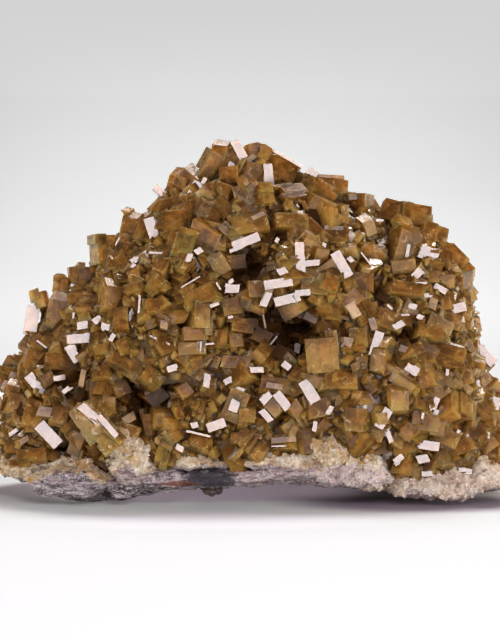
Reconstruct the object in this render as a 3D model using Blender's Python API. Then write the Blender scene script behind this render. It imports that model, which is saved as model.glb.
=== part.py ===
# Barite crystal cluster: a mound of golden brown barite crystals, grown together over a pale
# sugary crust, on a thin slab of layered host rock. X runs along the specimen, Y away from the
# side that is shown, Z up. The origin is on the ground, in the middle of the specimen's box.

import math
import random

import bmesh
import bpy
from mathutils import Matrix, Vector

MM = 0.001
GAP = 0.3

# Driving dimensions, in millimetres.
LENGTH = 204.0
DEPTH = 106.0
MOUND_CENTRE_Y = 0.3
MOUND_FLOOR = 13.0
CRYSTALS_STAND_OUT = 6.5
ROCK_TOP = 13.0
ROCK_CENTRE = (7.0, 0.0)
ROCK_HALF = (86.0, 47.0)
CRUST_TOP = 21.0
CRUST_CENTRE = (0.0, 0.0)
CRUST_HALF = (96.0, 49.0)

# Height of the crystals' tips along the specimen, seen from the front: x, z.
SKYLINE = [
    (-102, 24), (-96, 42), (-89, 49), (-82, 60), (-77, 70), (-68, 83), (-55, 91), (-48, 101),
    (-40, 107), (-31, 117), (-24, 123), (-15, 127), (-7, 131), (5, 130), (19, 122), (35, 117),
    (47, 111), (66, 106), (74, 97), (80, 86), (83, 68), (89, 48), (95, 38), (102, 22),
]

# Lumps (push out, positive) and hollows (negative) of the mound's front: x, z, radius, push.
RELIEF = [
    (17, 65, 12, -13), (-65, 18, 10, -8), (54, 95, 9, -6), (1, 88, 8, -6), (-41, 41, 9, -6),
    (-29, 42, 8, -5), (76, 91, 16, 6), (26, 113, 16, 5), (15, 82, 14, 8), (29, 54, 12, 5),
    (-40, 77, 18, 6), (-80, 34, 18, 6), (58, 36, 16, 4), (-8, 50, 16, -3),
]

# The crystals that stand out on the front. Each row is the middle of the broad face (x, z),
# the turn of its long side from level, its length and width, how deep the crystal runs behind
# it, and how far the face looks to the side and up.
SHOWN_CRYSTALS = [
    (-23.5, 119, 52, 12, 9, 9, -22, 4), (-14, 124.5, 62, 11, 6, 10, 14, -8),
    (-8, 122, 100, 12, 7, 10, -18, 30), (-12, 116, 20, 12, 8, 10, 24, 32),
    (-53, 94, 90, 11, 7, 9, 24, 6), (-45, 103, 80, 11, 6, 9, -20, 8),
    (-50, 76, 80, 14, 7.5, 10, 20, 0), (-35.5, 81, 60, 8, 5.5, 9, -28, 22),
    (-35, 73.5, 0, 11, 5.5, 9, 6, 34), (-19, 77, 30, 16, 6.5, 9, -14, 32),
    (-17.5, 70, 85, 10, 6, 9, 26, 10), (-75.5, 76, 5, 6.5, 6, 9, 26, 18),
    (-81.5, 58.5, 20, 8, 6.5, 9, -24, 8), (-86.5, 50, -20, 12, 7, 11, -18, 26),
    (-54.5, 49, 0, 9, 4.5, 9, 4, 34), (-47, 59, 35, 8.5, 5, 9, -20, 26),
    (-35.5, 47, -40, 8, 5.5, 9, 26, 18), (-32, 31, 85, 9.5, 6, 9, 22, 4),
    (-19, 23, -15, 10, 4.5, 8, 8, 30), (-81, 18, 8, 11, 5, 9, -10, 28),
    (15.5, 105, -4, 16, 6, 9, 6, 36), (26.5, 113, -30, 17, 13, 13, 24, 12),
    (39, 109.5, 90, 11, 7.5, 10, -22, 6), (44.5, 102, -70, 10, 4.5, 8, 28, 2),
    (52, 109, -15, 12, 8, 10, -16, 28), (62, 107, -10, 12, 8, 10, 26, 14),
    (58.5, 94.5, 72, 18, 9, 11, 24, 0), (76, 91, -50, 14, 8, 10, 22, 22),
    (69.5, 100, -20, 8.5, 6.5, 9, 28, 16), (58.5, 80, -10, 16, 5, 9, 4, 34),
    (30, 82, -25, 10, 6.5, 9, 20, 26), (14.5, 72, 30, 8.5, 7, 9, -26, -10),
    (29, 55, 5, 13.5, 12.5, 11, 18, 2), (67, 64, -6, 14, 4.5, 9, 4, 32),
    (73.5, 57, -18, 13, 4.5, 9, 10, 32), (83.5, 66, 100, 10, 5, 9, 30, 4),
    (80.5, 35, -15, 12, 7, 9, 24, 14), (38.5, 31, 90, 8.5, 7, 9, -24, 6),
    (55.5, 38, 90, 12, 7, 9, 20, 0), (47, 53, 85, 13, 5.5, 9, -26, 4),
    (41, 61.5, 90, 7, 5, 8, 22, 16),
]

# Crystals whose broad face looks straight at the light: x, z, turn, length, width, depth.
BRIGHT_CRYSTALS = [
    (-4, 131, 118, 7.5, 4, 9), (-21.5, 114.5, 62, 10.5, 4, 8), (-36, 100.5, 106, 11, 4.5, 9),
    (-80.5, 68.5, 80, 10, 5.5, 9), (-46, 95.5, -25, 7.5, 4, 8), (-39.5, 91, 35, 8, 4, 8),
    (-1.5, 97, 21, 10.5, 4, 9), (7, 121, 95, 9.5, 4, 9), (18.5, 91.5, 92, 10.5, 4, 9),
    (34, 88.5, -61, 10.5, 4.5, 9), (10.5, 81.5, 8, 10.5, 4, 9), (13.5, 75.5, 14, 9, 4, 8),
    (66.5, 93, -20, 7, 4.5, 8), (75.5, 72, 14, 9, 4, 9), (47, 60, 72, 7.5, 4, 8),
    (24, 57.5, -62, 7.5, 4, 8), (87, 55, -45, 9.5, 4.5, 10), (90.5, 35.5, 75, 8, 4, 10),
    (22, 41.5, -60, 9, 5, 9), (12, 38, -53, 7.5, 4, 8), (49.5, 31.5, 60, 8, 4, 8),
    (66, 21.5, -8, 8, 4, 8), (-79, 44, -50, 9.5, 4.5, 9), (-74.5, 25.5, -48, 10.5, 5.5, 9),
    (-63, 61, 3, 9.5, 4, 9), (-5, 38.5, 70, 9.5, 4, 9), (-12.5, 29, 20, 7, 4, 8),
    (-65.5, 55.5, -60, 7, 4, 8), (13, 126, -30, 12, 5, 8),
]
BRIGHT_SIDE = 4.0
BRIGHT_UP = 13.0
SHOWN_STAND_OUT = 4.5

# Height of the host rock's underside along it, lifted off the ground in the middle: x, z.
ROCK_UNDERSIDE = [
    (-80, 6), (-75, 2), (-66, 1.5), (-57, 1.2), (-47, 1.4), (-36, 3.5), (-28, 6.5), (-10, 6.2),
    (0, 6.8), (11, 8.6), (20, 9.2), (26, 7.2), (33, 6.8), (40, 4.6), (51, 4.8), (59, 2),
    (77, 1.6), (86, 4), (94, 5),
]
# What the rock stands on, flat underneath: middle x and y, half length, half depth.
ROCK_FEET = [(-57, -2, 18, 36), (68, 2, 13, 34)]
FOOT_SIDES = 16
# A little lump of darker rock that hangs under the front: middle and half sizes.
HANGING_LUMP = ((-14, -41, 5.2), (4.5, 4, 3))

# Lower edge of the crust along the specimen's front: x, z.
CRUST_FRONT_EDGE = [
    (-97, 8), (-78, 10), (-58, 12), (-28, 12.5), (-4, 13), (20, 10), (33, 7), (52, 6.5), (66, 6.5),
    (97, 8),
]
# Lumps on the crust: middle x, y and z, half sizes.
CRUST_LUMPS = [
    (30, -47, 14, 9, 6, 7.5), (43, -48, 12.5, 11, 6.5, 7.5), (51, -46, 17, 6, 6, 6),
    (66, -46, 10, 10, 5, 4.5), (83, -34, 11, 9, 8, 5), (-84, -30, 12, 9, 9, 5.5),
    (-41, -46, 17, 8, 6, 6.5), (6, -48, 17, 12, 5, 4.5), (-20, -48, 17, 10, 5, 4),
]
# The crust's rib between the crystals, from its top down: x, z, half width.
CRUST_RIB = [(-61, 35, 2.5), (-57, 31, 4), (-51, 26, 5), (-44, 20, 8), (-38, 14, 10)]

# Crystals that fill the rest of the mound, between the shown ones, in millimetres.
FILL_TRIES = 4200
FILL_LENGTH = (9.0, 15.0)
FILL_WIDTH = (6.5, 10.0)
FILL_THICKNESS = (5.0, 8.5)
FILL_SPACE_FRONT = 11.2
FILL_SPACE_BACK = 15.4
FILL_SEED = 41

# Little crystals that stand on the crust's edge.
SUGAR_COUNT = 20
SUGAR_SIZE = (2.5, 4.5)
SUGAR_SEED = 17

# Points around the rock and the crust.
RING_SIDES = 28


def between(points, x):
    """Height read from a list of points, straight between them."""
    if x <= points[0][0]:
        return points[0][1]
    for (x0, z0), (x1, z1) in zip(points, points[1:]):
        if x <= x1:
            return z0 + (z1 - z0) * (x - x0) / (x1 - x0)
    return points[-1][1]


def lumpy(a, b, wave, phase):
    """A smooth unevenness from -1 to 1 over two coordinates."""
    u = a * math.tau / wave
    v = b * math.tau / wave
    return 0.5 * (math.sin(u + phase + 1.3 * math.sin(v * 0.8 + phase))
                  + math.sin(v * 1.17 - phase + 1.1 * math.sin(u * 0.7)))


def mound_half_length():
    return LENGTH / 2 - CRYSTALS_STAND_OUT + 1.0


def mound_half_depth(x):
    end = min(1.0, abs(x) / mound_half_length())
    return (DEPTH / 2 - CRYSTALS_STAND_OUT + 1.5) * math.sqrt(max(0.0, 1 - end ** 3))


def mound_height(x):
    return max(8.0, between(SKYLINE, x) - CRYSTALS_STAND_OUT - MOUND_FLOOR)


def relief(x, z):
    push = 0.0
    for px, pz, radius, depth in RELIEF:
        push += depth * math.exp(-((x - px) ** 2 + (z - pz) ** 2) / radius ** 2)
    return push


def mound_point(x, angle):
    """A point of the mound's surface at x: angle 0 is the front's foot, 180 the back's."""
    turn = math.radians(angle)
    depth = mound_half_depth(x)
    y = MOUND_CENTRE_Y - depth * math.cos(turn)
    z = MOUND_FLOOR + mound_height(x) * math.sin(turn)
    uneven = 1.8 * lumpy(x, z + y, 31.0, 0.6)
    if angle < 90:
        uneven += relief(x, z)
    outward = Vector((0.0, -math.cos(turn), 0.35 * math.sin(turn)))
    return Vector((x, y, z)) + outward * uneven


def mound_outward(x, angle):
    """The direction that the mound's surface faces at a point."""
    here = mound_point(x, angle)
    along = mound_point(x + 1.0, angle) - mound_point(x - 1.0, angle)
    over = mound_point(x, angle + 1.5) - mound_point(x, angle - 1.5)
    outward = along.cross(over).normalized()
    middle = Vector((x * 0.6, MOUND_CENTRE_Y, here.z * 0.5))
    return outward if outward.dot(here - middle) > 0 else -outward


def front_y(x, z):
    """How far forward the mound's front is at a height."""
    share = min(0.995, max(0.02, (z - MOUND_FLOOR) / mound_height(x)))
    return mound_point(x, math.degrees(math.asin(share))).y


def facing(side, up):
    """The direction of a face that looks forward, turned to the side and up."""
    a = math.radians(side)
    b = math.radians(up)
    return Vector((math.sin(a) * math.cos(b), -math.cos(a) * math.cos(b), math.sin(b)))


def placed(point, normal, turn):
    """Axes of a crystal: X along its length, Y across it, Z out of its broad face."""
    level = Vector((-normal.y, normal.x, 0.0))
    if level.length < 0.05:
        level = Vector((1.0, 0.0, 0.0))
    level.normalize()
    rise = normal.cross(level)
    angle = math.radians(turn)
    along = level * math.cos(angle) + rise * math.sin(angle)
    across = normal.cross(along)
    axes = Matrix((along, across, normal)).transposed().to_4x4()
    return Matrix.Translation(point) @ axes


def add_crystal(bm, matrix, length, width, depth, ends, slant):
    """One crystal in millimetres: its broad face at local z = 0, its body below it."""
    half = length / 2
    slope = ends * depth / 2
    if ends > 0:
        section = [(-half + slope, 0), (half - slope, 0), (half, -depth / 2),
                   (half - slope, -depth), (-half + slope, -depth), (-half, -depth / 2)]
    else:
        section = [(-half, 0), (half, 0), (half, -depth), (-half, -depth)]
    side = [bm.verts.new((u, -width / 2, w)) for u, w in section]
    face = bm.faces.new(side)
    pulled = bmesh.ops.extrude_face_region(bm, geom=[face])["geom"]
    far = [item for item in pulled if isinstance(item, bmesh.types.BMVert)]
    bmesh.ops.translate(bm, verts=far, vec=(0, width, 0))
    verts = side + far
    for vert in verts:
        vert.co.x += slant * vert.co.y
        vert.co = (matrix @ vert.co) * MM


def turned_out(bm):
    bmesh.ops.recalc_face_normals(bm, faces=bm.faces)


def new_object(name, bm, material=None):
    mesh = bpy.data.meshes.new(name)
    bm.to_mesh(mesh)
    bm.free()
    piece = bpy.data.objects.new(name, mesh)
    bpy.context.scene.collection.objects.link(piece)
    if material:
        mesh.materials.append(material)
    return piece


def helper(piece):
    piece.hide_render = True
    piece.display_type = "WIRE"
    return piece


def material(name, colour, roughness):
    made = bpy.data.materials.new(name)
    made.use_nodes = True
    shader = made.node_tree.nodes["Principled BSDF"]
    shader.inputs["Base Color"].default_value = (*colour, 1)
    shader.inputs["Roughness"].default_value = roughness
    shader.inputs["Metallic"].default_value = 0.0
    return made


def boolean(piece, other, operation, own_overlaps=False):
    cut = piece.modifiers.new(operation.lower(), "BOOLEAN")
    cut.operation = operation
    cut.solver = "EXACT"
    cut.use_self = own_overlaps
    cut.object = other


def settle(piece, as_triangles=False):
    """Applies the modifiers and keeps only the one large closed body."""
    graph = bpy.context.evaluated_depsgraph_get()
    made = bpy.data.meshes.new_from_object(piece.evaluated_get(graph))
    piece.modifiers.clear()
    bm = bmesh.new()
    bm.from_mesh(made)
    if as_triangles:
        bmesh.ops.triangulate(bm, faces=bm.faces)
    left = set(bm.faces)
    bodies = []
    while left:
        waiting = [left.pop()]
        body = []
        while waiting:
            face = waiting.pop()
            body.append(face)
            for edge in face.edges:
                # An edge of four faces is where a pocket touches the body
                if len(edge.link_faces) != 2:
                    continue
                for other in edge.link_faces:
                    if other in left:
                        left.remove(other)
                        waiting.append(other)
        bodies.append(body)
    bodies.sort(key=len)
    for body in bodies[:-1]:
        bmesh.ops.delete(bm, geom=body, context="FACES")
    bm.to_mesh(made)
    bm.free()
    piece.data = made


def ring_solid(rings):
    """A closed solid from rings of points, lowest first, in millimetres."""
    bm = bmesh.new()
    loops = [[bm.verts.new(Vector(point) * MM) for point in ring] for ring in rings]
    count = len(loops[0])
    for low, high in zip(loops, loops[1:]):
        for i in range(count):
            j = (i + 1) % count
            bm.faces.new((low[i], low[j], high[j], high[i]))
    bm.faces.new(list(reversed(loops[0])))
    bm.faces.new(loops[-1])
    bmesh.ops.triangulate(bm, faces=bm.faces)
    return bm


def swollen(bm, grow):
    """Moves every face of a closed body out by the same distance, in millimetres."""
    bm.normal_update()
    moves = [vert.normal * min(2.0, vert.calc_shell_factor()) * grow * MM for vert in bm.verts]
    for vert, move in zip(bm.verts, moves):
        vert.co += move
    return bm


def outline_point(angle, half_x, half_y, centre, corner):
    """A point on a rounded oblong outline, seen from above."""
    c = math.cos(angle)
    s = math.sin(angle)
    x = centre[0] + half_x * math.copysign(abs(c) ** corner, c)
    y = centre[1] + half_y * math.copysign(abs(s) ** corner, s)
    return x, y


def rock_slab(grow):
    """The slab itself, with ledges along its edge and a hollow underside."""
    # share of the outline, height share of the slab
    ledges = [(0.55, 0.0), (0.90, 0.0), (0.985, 0.12), (1.0, 0.34), (0.955, 0.42), (0.985, 0.66),
              (0.93, 0.86)]
    centre_x, centre_y = ROCK_CENTRE
    rings = []
    for level, (share, height) in enumerate(ledges):
        ring = []
        for i in range(RING_SIDES):
            angle = math.tau * i / RING_SIDES
            x, y = outline_point(angle, *ROCK_HALF, ROCK_CENTRE, 0.8)
            rough = 1 + 0.022 * lumpy(i * 9.0, level * 5.0, 37.0, 0.4 + level)
            x = centre_x + (x - centre_x) * share * rough
            y = centre_y + (y - centre_y) * share * rough
            low = between(ROCK_UNDERSIDE, x)
            z = low + (ROCK_TOP - low) * height + 0.5 * lumpy(x, y, 23.0, level)
            ring.append((x, y, max(z, 0.9)))
        rings.append(ring)
    top = []
    for i in range(RING_SIDES):
        x, y = outline_point(math.tau * i / RING_SIDES, 55, 28, ROCK_CENTRE, 0.8)
        top.append((x, y, ROCK_TOP + 1.5))
    rings.append(top)
    return swollen(ring_solid(rings), grow)


def rock_foot(x, y, half_x, half_y, grow):
    """A foot of the rock, flat where it stands on the ground."""
    rings = []
    for share, z in [(0.86, -grow), (1.0 + grow / half_x, 2.5), (0.92 + grow / half_x, 9.0)]:
        ring = []
        for i in range(FOOT_SIDES):
            angle = math.tau * i / FOOT_SIDES
            rough = 1 + 0.06 * lumpy(i * 11.0, x, 41.0, 1.3)
            px, py = outline_point(angle, half_x * share * rough, half_y * share * rough, (x, y), 0.8)
            ring.append((px, py, z))
        rings.append(ring)
    return ring_solid(rings)


def host_rock(grow, paint):
    """Thin layered slab on two low feet, with a little lump under its front."""
    rock = new_object("host_rock", rock_slab(grow), paint)
    pieces = [rock_foot(*foot, grow) for foot in ROCK_FEET]
    lump = bmesh.new()
    add_ball(lump, HANGING_LUMP[0], [size + grow for size in HANGING_LUMP[1]])
    pieces.append(lump)
    for piece in pieces:
        turned_out(piece)
        boolean(rock, helper(new_object("rock_growth", piece)), "UNION")
        settle(rock)
    return rock


def crust_floor(x, y):
    """Lower edge of the crust along the specimen's front and around the back."""
    front = between(CRUST_FRONT_EDGE, x)
    back = 8.5 + 1.5 * math.sin(x / 13)
    share = min(1.0, max(0.0, (y + 20) / 40))
    return front * (1 - share) + back * share


def add_ball(bm, centre, size):
    made = bmesh.ops.create_icosphere(bm, subdivisions=1, radius=1.0)["verts"]
    for vert in made:
        vert.co = Vector(centre) + Vector([a * b for a, b in zip(vert.co, size)])
        vert.co *= MM


def crust_body(grow):
    rings = []
    # share of the outline, height share of the crust
    for share, height in [(0.90, 0.0), (0.985, 0.14), (1.0, 0.40), (0.97, 0.68), (0.90, 0.90)]:
        ring = []
        for i in range(RING_SIDES):
            angle = math.tau * i / RING_SIDES
            x, y = outline_point(angle, *CRUST_HALF, CRUST_CENTRE, 0.82)
            rough = 1 + 0.018 * lumpy(i * 7.0, height * 31.0, 29.0, 2.2)
            if y < 0:
                rough += 0.03 * min(1.0, max(0.0, (x - 15) / 12))
            x *= share * rough
            y *= share * rough
            low = crust_floor(x, y)
            z = low + (CRUST_TOP - low) * height + 0.6 * lumpy(x, y, 19.0, height * 3)
            ring.append((x, y, z))
        rings.append(ring)
    top = []
    for i in range(RING_SIDES):
        x, y = outline_point(math.tau * i / RING_SIDES, 50, 24, CRUST_CENTRE, 0.82)
        top.append((x, y, CRUST_TOP + 2))
    rings.append(top)
    return swollen(ring_solid(rings), grow)


def crust_growths(grow):
    """Lumps on the crust's front, and the pale rib that climbs between the crystals."""
    bm = bmesh.new()
    for x, y, z, a, b, c in CRUST_LUMPS:
        add_ball(bm, (x, y, z), (a + grow, b + grow, c + grow))
    for (x0, z0, r0), (x1, z1, r1) in zip(CRUST_RIB, CRUST_RIB[1:]):
        middle = ((x0 + x1) / 2, front_y((x0 + x1) / 2, (z0 + z1) / 2) - 1, (z0 + z1) / 2)
        reach = math.hypot(x1 - x0, z1 - z0) / 2 + r1 * 0.55
        tilt = math.atan2(z1 - z0, x1 - x0)
        made = bmesh.ops.create_icosphere(bm, subdivisions=1, radius=1.0)["verts"]
        for vert in made:
            vert.co = Vector((vert.co.x * (reach + grow), vert.co.y * (7 + grow),
                              vert.co.z * ((r0 + r1) / 2 + grow)))
        turn = Matrix.Rotation(-tilt, 3, "Y")
        for vert in made:
            vert.co = (turn @ vert.co + Vector(middle)) * MM
    return bm


def crust_sugar(grow):
    """Little crystals along the edge of the crust."""
    bm = bmesh.new()
    draw = random.Random(SUGAR_SEED)
    for i in range(SUGAR_COUNT):
        angle = math.tau * (i + 0.3 * draw.random()) / SUGAR_COUNT
        x, y = outline_point(angle, CRUST_HALF[0] - 1, CRUST_HALF[1] - 0.5, CRUST_CENTRE, 0.82)
        low = crust_floor(x, y)
        z = low + (CRUST_TOP - low) * draw.uniform(0.25, 0.75)
        size = draw.uniform(*SUGAR_SIZE)
        wide = size + 2 * grow
        level = Vector((x / CRUST_HALF[0], y / CRUST_HALF[1], draw.uniform(-0.2, 0.5)))
        normal = level.normalized()
        point = Vector((x, y, z)) + normal * (size * 0.35 + grow)
        matrix = placed(point, normal, draw.uniform(0, 180))
        add_crystal(bm, matrix, size * 1.3 + 2 * grow, wide, size * 1.6 + 2 * grow, 0.0, 0.0)
    return bm


def druse_crust(grow, paint):
    crust = new_object("druse_crust", crust_body(grow), paint)
    for name, growth in (("crust_growths", crust_growths(grow)), ("crust_sugar", crust_sugar(grow))):
        turned_out(growth)
        boolean(crust, helper(new_object(name, growth)), "UNION", True)
        settle(crust)
    return crust


def mound_body():
    """The closed body that the crystals grow from."""
    bm = bmesh.new()
    bmesh.ops.create_icosphere(bm, subdivisions=3, radius=1.0)
    for vert in bm.verts:
        a, b, c = vert.co
        x = mound_half_length() * a
        around = math.hypot(b, c)
        if c < 0:
            depth = mound_half_depth(x) * 0.96
            share = b / around if around > 1e-6 else 0.0
            y = MOUND_CENTRE_Y + depth * share
            vert.co = Vector((x, y, MOUND_FLOOR - 5 * min(1.0, -c * 3))) * MM
        else:
            angle = math.degrees(math.atan2(c, -b)) if around > 1e-6 else 90.0
            vert.co = mound_point(x, angle) * MM
    return bm


def shown_crystals(bm):
    places = []
    rows = [(*row, False) for row in SHOWN_CRYSTALS]
    rows += [(*row, BRIGHT_SIDE, BRIGHT_UP, True) for row in BRIGHT_CRYSTALS]
    for number, (x, z, turn, length, width, depth, side, up, bright) in enumerate(rows):
        point = Vector((x, front_y(x, z) - SHOWN_STAND_OUT, z))
        matrix = placed(point, facing(side, up), turn)
        ends = 0.0 if bright or number % 3 == 1 else 0.55
        add_crystal(bm, matrix, length, width, depth, ends, 0.0)
        places.append(point)
    return places


def filling_crystals(bm, taken):
    """Seeded crystals over the front, the ends, the top and the back."""
    draw = random.Random(FILL_SEED)
    places = list(taken)
    for _ in range(FILL_TRIES):
        x = mound_half_length() * draw.uniform(-0.985, 0.985)
        angle = draw.uniform(3, 177)
        length = draw.uniform(*FILL_LENGTH)
        width = draw.uniform(*FILL_WIDTH)
        thickness = draw.uniform(*FILL_THICKNESS)
        tilt = Vector([draw.uniform(-0.7, 0.7) for _ in range(3)])
        turn = draw.uniform(0, 180)
        ends = draw.choice((0.0, 0.0, 0.6))
        slant = draw.choice((0.0, 0.0, 0.22, -0.22))
        point = mound_point(x, angle)
        space = FILL_SPACE_FRONT if angle < 90 else FILL_SPACE_BACK
        if any((point - other).length < space for other in places):
            continue
        outward = mound_outward(x, angle)
        matrix = placed(point + outward * thickness * 0.5, (outward + tilt).normalized(), turn)
        add_crystal(bm, matrix, length, width, thickness + 3.5, ends, slant)
        places.append(point)


def barite_crystals(paint):
    mound = new_object("barite_crystals", mound_body(), paint)
    grown = bmesh.new()
    shown = shown_crystals(grown)
    filling_crystals(grown, shown)
    turned_out(grown)
    boolean(mound, helper(new_object("single_crystals", grown)), "UNION", True)
    settle(mound)
    return mound


def clear_scene():
    for old in list(bpy.data.objects):
        bpy.data.objects.remove(old, do_unlink=True)


def main():
    clear_scene()
    rock_paint = material("grey_host_rock", (0.16, 0.14, 0.15), 0.85)
    crust_paint = material("pale_sugary_crust", (0.75, 0.62, 0.38), 0.6)
    crystal_paint = material("golden_barite", (0.28, 0.13, 0.025), 0.2)

    rock = host_rock(0.0, rock_paint)
    rock_room = helper(host_rock(GAP, None))
    rock_room.name = "rock_room"
    crust_room = helper(druse_crust(GAP, None))
    crust_room.name = "crust_room"
    crust = druse_crust(0.0, crust_paint)
    boolean(crust, rock_room, "DIFFERENCE")
    settle(crust, True)

    crystals = barite_crystals(crystal_paint)
    boolean(crystals, crust_room, "DIFFERENCE")
    boolean(crystals, rock_room, "DIFFERENCE")
    settle(crystals, True)
    for piece in (rock, crust, crystals):
        print(piece.name, len(piece.data.polygons), "faces")


main()
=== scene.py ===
import math
import random

import bmesh
import bpy
import numpy as np
from mathutils import Matrix, Vector, noise


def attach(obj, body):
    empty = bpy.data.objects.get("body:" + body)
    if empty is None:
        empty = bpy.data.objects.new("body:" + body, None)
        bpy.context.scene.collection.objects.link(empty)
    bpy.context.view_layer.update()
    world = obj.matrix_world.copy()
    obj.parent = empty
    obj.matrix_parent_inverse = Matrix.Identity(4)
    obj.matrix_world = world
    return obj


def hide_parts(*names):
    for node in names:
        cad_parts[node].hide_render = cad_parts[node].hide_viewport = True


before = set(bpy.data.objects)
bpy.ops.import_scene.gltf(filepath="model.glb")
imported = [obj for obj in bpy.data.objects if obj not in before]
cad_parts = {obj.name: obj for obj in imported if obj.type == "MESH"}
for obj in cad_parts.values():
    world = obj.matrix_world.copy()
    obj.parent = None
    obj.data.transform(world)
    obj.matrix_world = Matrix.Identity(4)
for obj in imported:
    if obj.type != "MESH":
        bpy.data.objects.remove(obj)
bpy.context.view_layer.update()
print("frame loaded")

mm = 0.001

# Camera: a long lens, a little above the table
cameraSet = {
    "lens": 182.0,
    "sensor": 36.0,
    "distance": 1.2,
    "rise": 4.0,
    "aim": (0.0, -0.025, 0.0667),
    "sees": 500.0,
}

# The photograph's rows, the size of a pixel at the specimen and the height of the middle row,
# in millimetres
photo = {"rows": 640, "scale": 0.37, "middle": 67.9}

# Softboxes: where they hang (side and rise in degrees), how far, size, power and colour, and
# whether polished faces mirror them
lightAim = (0.0, 0.0, 0.06)
lightSet = {
    "mirror": {"side": 8.0, "rise": 22.0, "distance": 1.0, "size": (0.28, 0.28),
               "power": 2.7, "colour": (1.0, 0.948, 1.068)},
    "overhead": {"side": -22.0, "rise": 119.0, "distance": 3.2, "size": (1.6, 0.7),
                 "power": 72.0, "colour": (1.0, 0.98, 0.99)},
    "left": {"side": -60.0, "rise": 6.0, "distance": 1.2, "size": (0.6, 0.24),
             "power": 5.9, "colour": (1.0, 0.985, 0.92), "gloss": False},
    "right": {"side": 64.0, "rise": 6.0, "distance": 1.2, "size": (0.6, 0.24),
              "power": 6.8, "colour": (1.0, 0.985, 0.92), "gloss": False},
}


def facing(side, up):
    # A direction that many degrees to the side of the camera's and up
    a = math.radians(side)
    b = math.radians(up)
    return Vector((math.sin(a) * math.cos(b), -math.cos(a) * math.cos(b), math.sin(b)))


def hang(name, data, values, target):
    # A camera or a lamp at its place around a target, turned to it
    thing = bpy.data.objects.new(name, data)
    way = facing(values.get("side", 0), values["rise"])
    thing.location = Vector(target) + way * values["distance"]
    thing.rotation_euler = (Vector(target) - thing.location).to_track_quat("-Z", "Y").to_euler()
    bpy.context.scene.collection.objects.link(thing)
    return thing


def addCamera(values):
    data = bpy.data.cameras.new("specimenCamera")
    data.lens = values["lens"]
    data.sensor_width = values["sensor"]
    data.clip_end = values["sees"]
    camera = hang("specimenCamera", data, values, values["aim"])
    bpy.context.scene.camera = camera
    return camera


def addSoftbox(name, values):
    data = bpy.data.lights.new(name, "AREA")
    data.shape = "RECTANGLE"
    data.size, data.size_y = values["size"]
    data.energy = values["power"]
    data.color = values["colour"]
    lamp = hang(name, data, values, lightAim)
    lamp.visible_glossy = values.get("gloss", True)
    return lamp


camera = addCamera(cameraSet)
softboxes = {name: addSoftbox(name + "Softbox", values) for name, values in lightSet.items()}
bpy.context.scene.view_settings.view_transform = "Standard"
print("camera and softboxes placed")

# The mound that the crystals grow from: the same form as the solid's, in millimetres, with the
# crystals' skyline (x, z) and the lumps and dents of the front (x, z, radius, height)
mound = {
    "length": 204.0,
    "depth": 106.0,
    "centreY": 0.3,
    "floor": 13.0,
    "leastHeight": 8.0,
    "standOut": 6.5,
    "longer": 1.0,
    "deeper": 1.5,
    "uneven": 1.8,
    "wave": 31.0,
    "phase": 0.6,
    "skyline": [
        (-102, 24), (-96, 42), (-89, 49), (-82, 60), (-77, 70), (-68, 83), (-55, 91), (-48, 101),
        (-40, 107), (-31, 117), (-24, 123), (-15, 127), (-7, 131), (5, 130), (19, 122), (35, 117),
        (47, 111), (66, 106), (74, 97), (80, 86), (83, 68), (89, 48), (95, 38), (102, 22),
    ],
    "relief": [
        (17, 65, 12, -13), (-65, 18, 10, -8), (54, 95, 9, -6), (1, 88, 8, -6), (-41, 41, 9, -6),
        (-29, 42, 8, -5), (76, 91, 16, 6), (26, 113, 16, 5), (15, 82, 14, 8), (29, 54, 12, 5),
        (-40, 77, 18, 6), (-80, 34, 18, 6), (58, 36, 16, 4), (-8, 50, 16, -3),
    ],
}

# Where the crust meets the rock below it along the front, and where the crystals above it end
contact = [
    (-97, 9.5), (-86, 8.5), (-80, 8.5), (-74, 11.5), (-66, 13.5), (-60, 13), (-57, 9.5),
    (-52, 8.5), (-49, 13), (-46.5, 15.5), (-41, 13.5), (-38, 13), (-30, 14.5), (-20, 15),
    (0, 15.8), (12, 15.5), (22, 14), (26, 10.5), (33, 8), (42, 6.5), (48, 5), (54, 3),
    (60, 1.5), (80, 2), (84, 4.5), (92, 7), (98, 7.5),
]
crustTop = [
    (-97, 15.5), (-84, 14.5), (-76, 15.5), (-69, 18), (-62, 17), (-57, 15), (-38, 18),
    (-34, 15.5), (-25, 18.5), (-18, 17.5), (0, 17.5), (10, 20), (18, 20.5), (23, 26), (30, 26),
    (35, 20.5), (43, 19.5), (47, 16), (52, 11), (62, 8.5), (70, 9.5), (81, 10.5),
    (91, 12.5), (98, 13),
]

# Deep gaps in the front: x, z, radius, depth. The crystals in them also get the painted shade of
# deep places
hollows = [
    (-66, 45, 7, 9), (-65, 18, 6.5, 9), (-61.5, 37, 4, 7), (-40, 43.5, 4.5, 7), (-42, 34.5, 4, 7),
    (-31, 43, 3, 6), (1.5, 87, 5.5, 9), (-4, 84, 4, 8), (-27, 80, 4.5, 7), (-24, 69, 4, 7),
    (4, 66, 6, 8), (15, 64, 8, 9), (8, 70, 4, 8), (22, 17, 3.5, 6), (50, 17, 4, 7),
    (10, 100, 4.5, 7), (11, 115, 5, 8), (42, 88, 3, 6), (53, 93, 3.5, 7), (57, 62, 3.5, 6),
    (72, 62, 3, 6), (-5, 118, 3.5, 6), (34, 106, 3, 6), (-50, 9.5, 5, 6), (0, 47, 3, 5),
    (-33, 37, 4, 6), (48, 76, 4, 5), (9, 30, 4, 5),
]


def between(points, x):
    if x <= points[0][0]:
        return points[0][1]
    for (x0, z0), (x1, z1) in zip(points, points[1:]):
        if x <= x1:
            return z0 + (z1 - z0) * (x - x0) / (x1 - x0)
    return points[-1][1]


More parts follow.
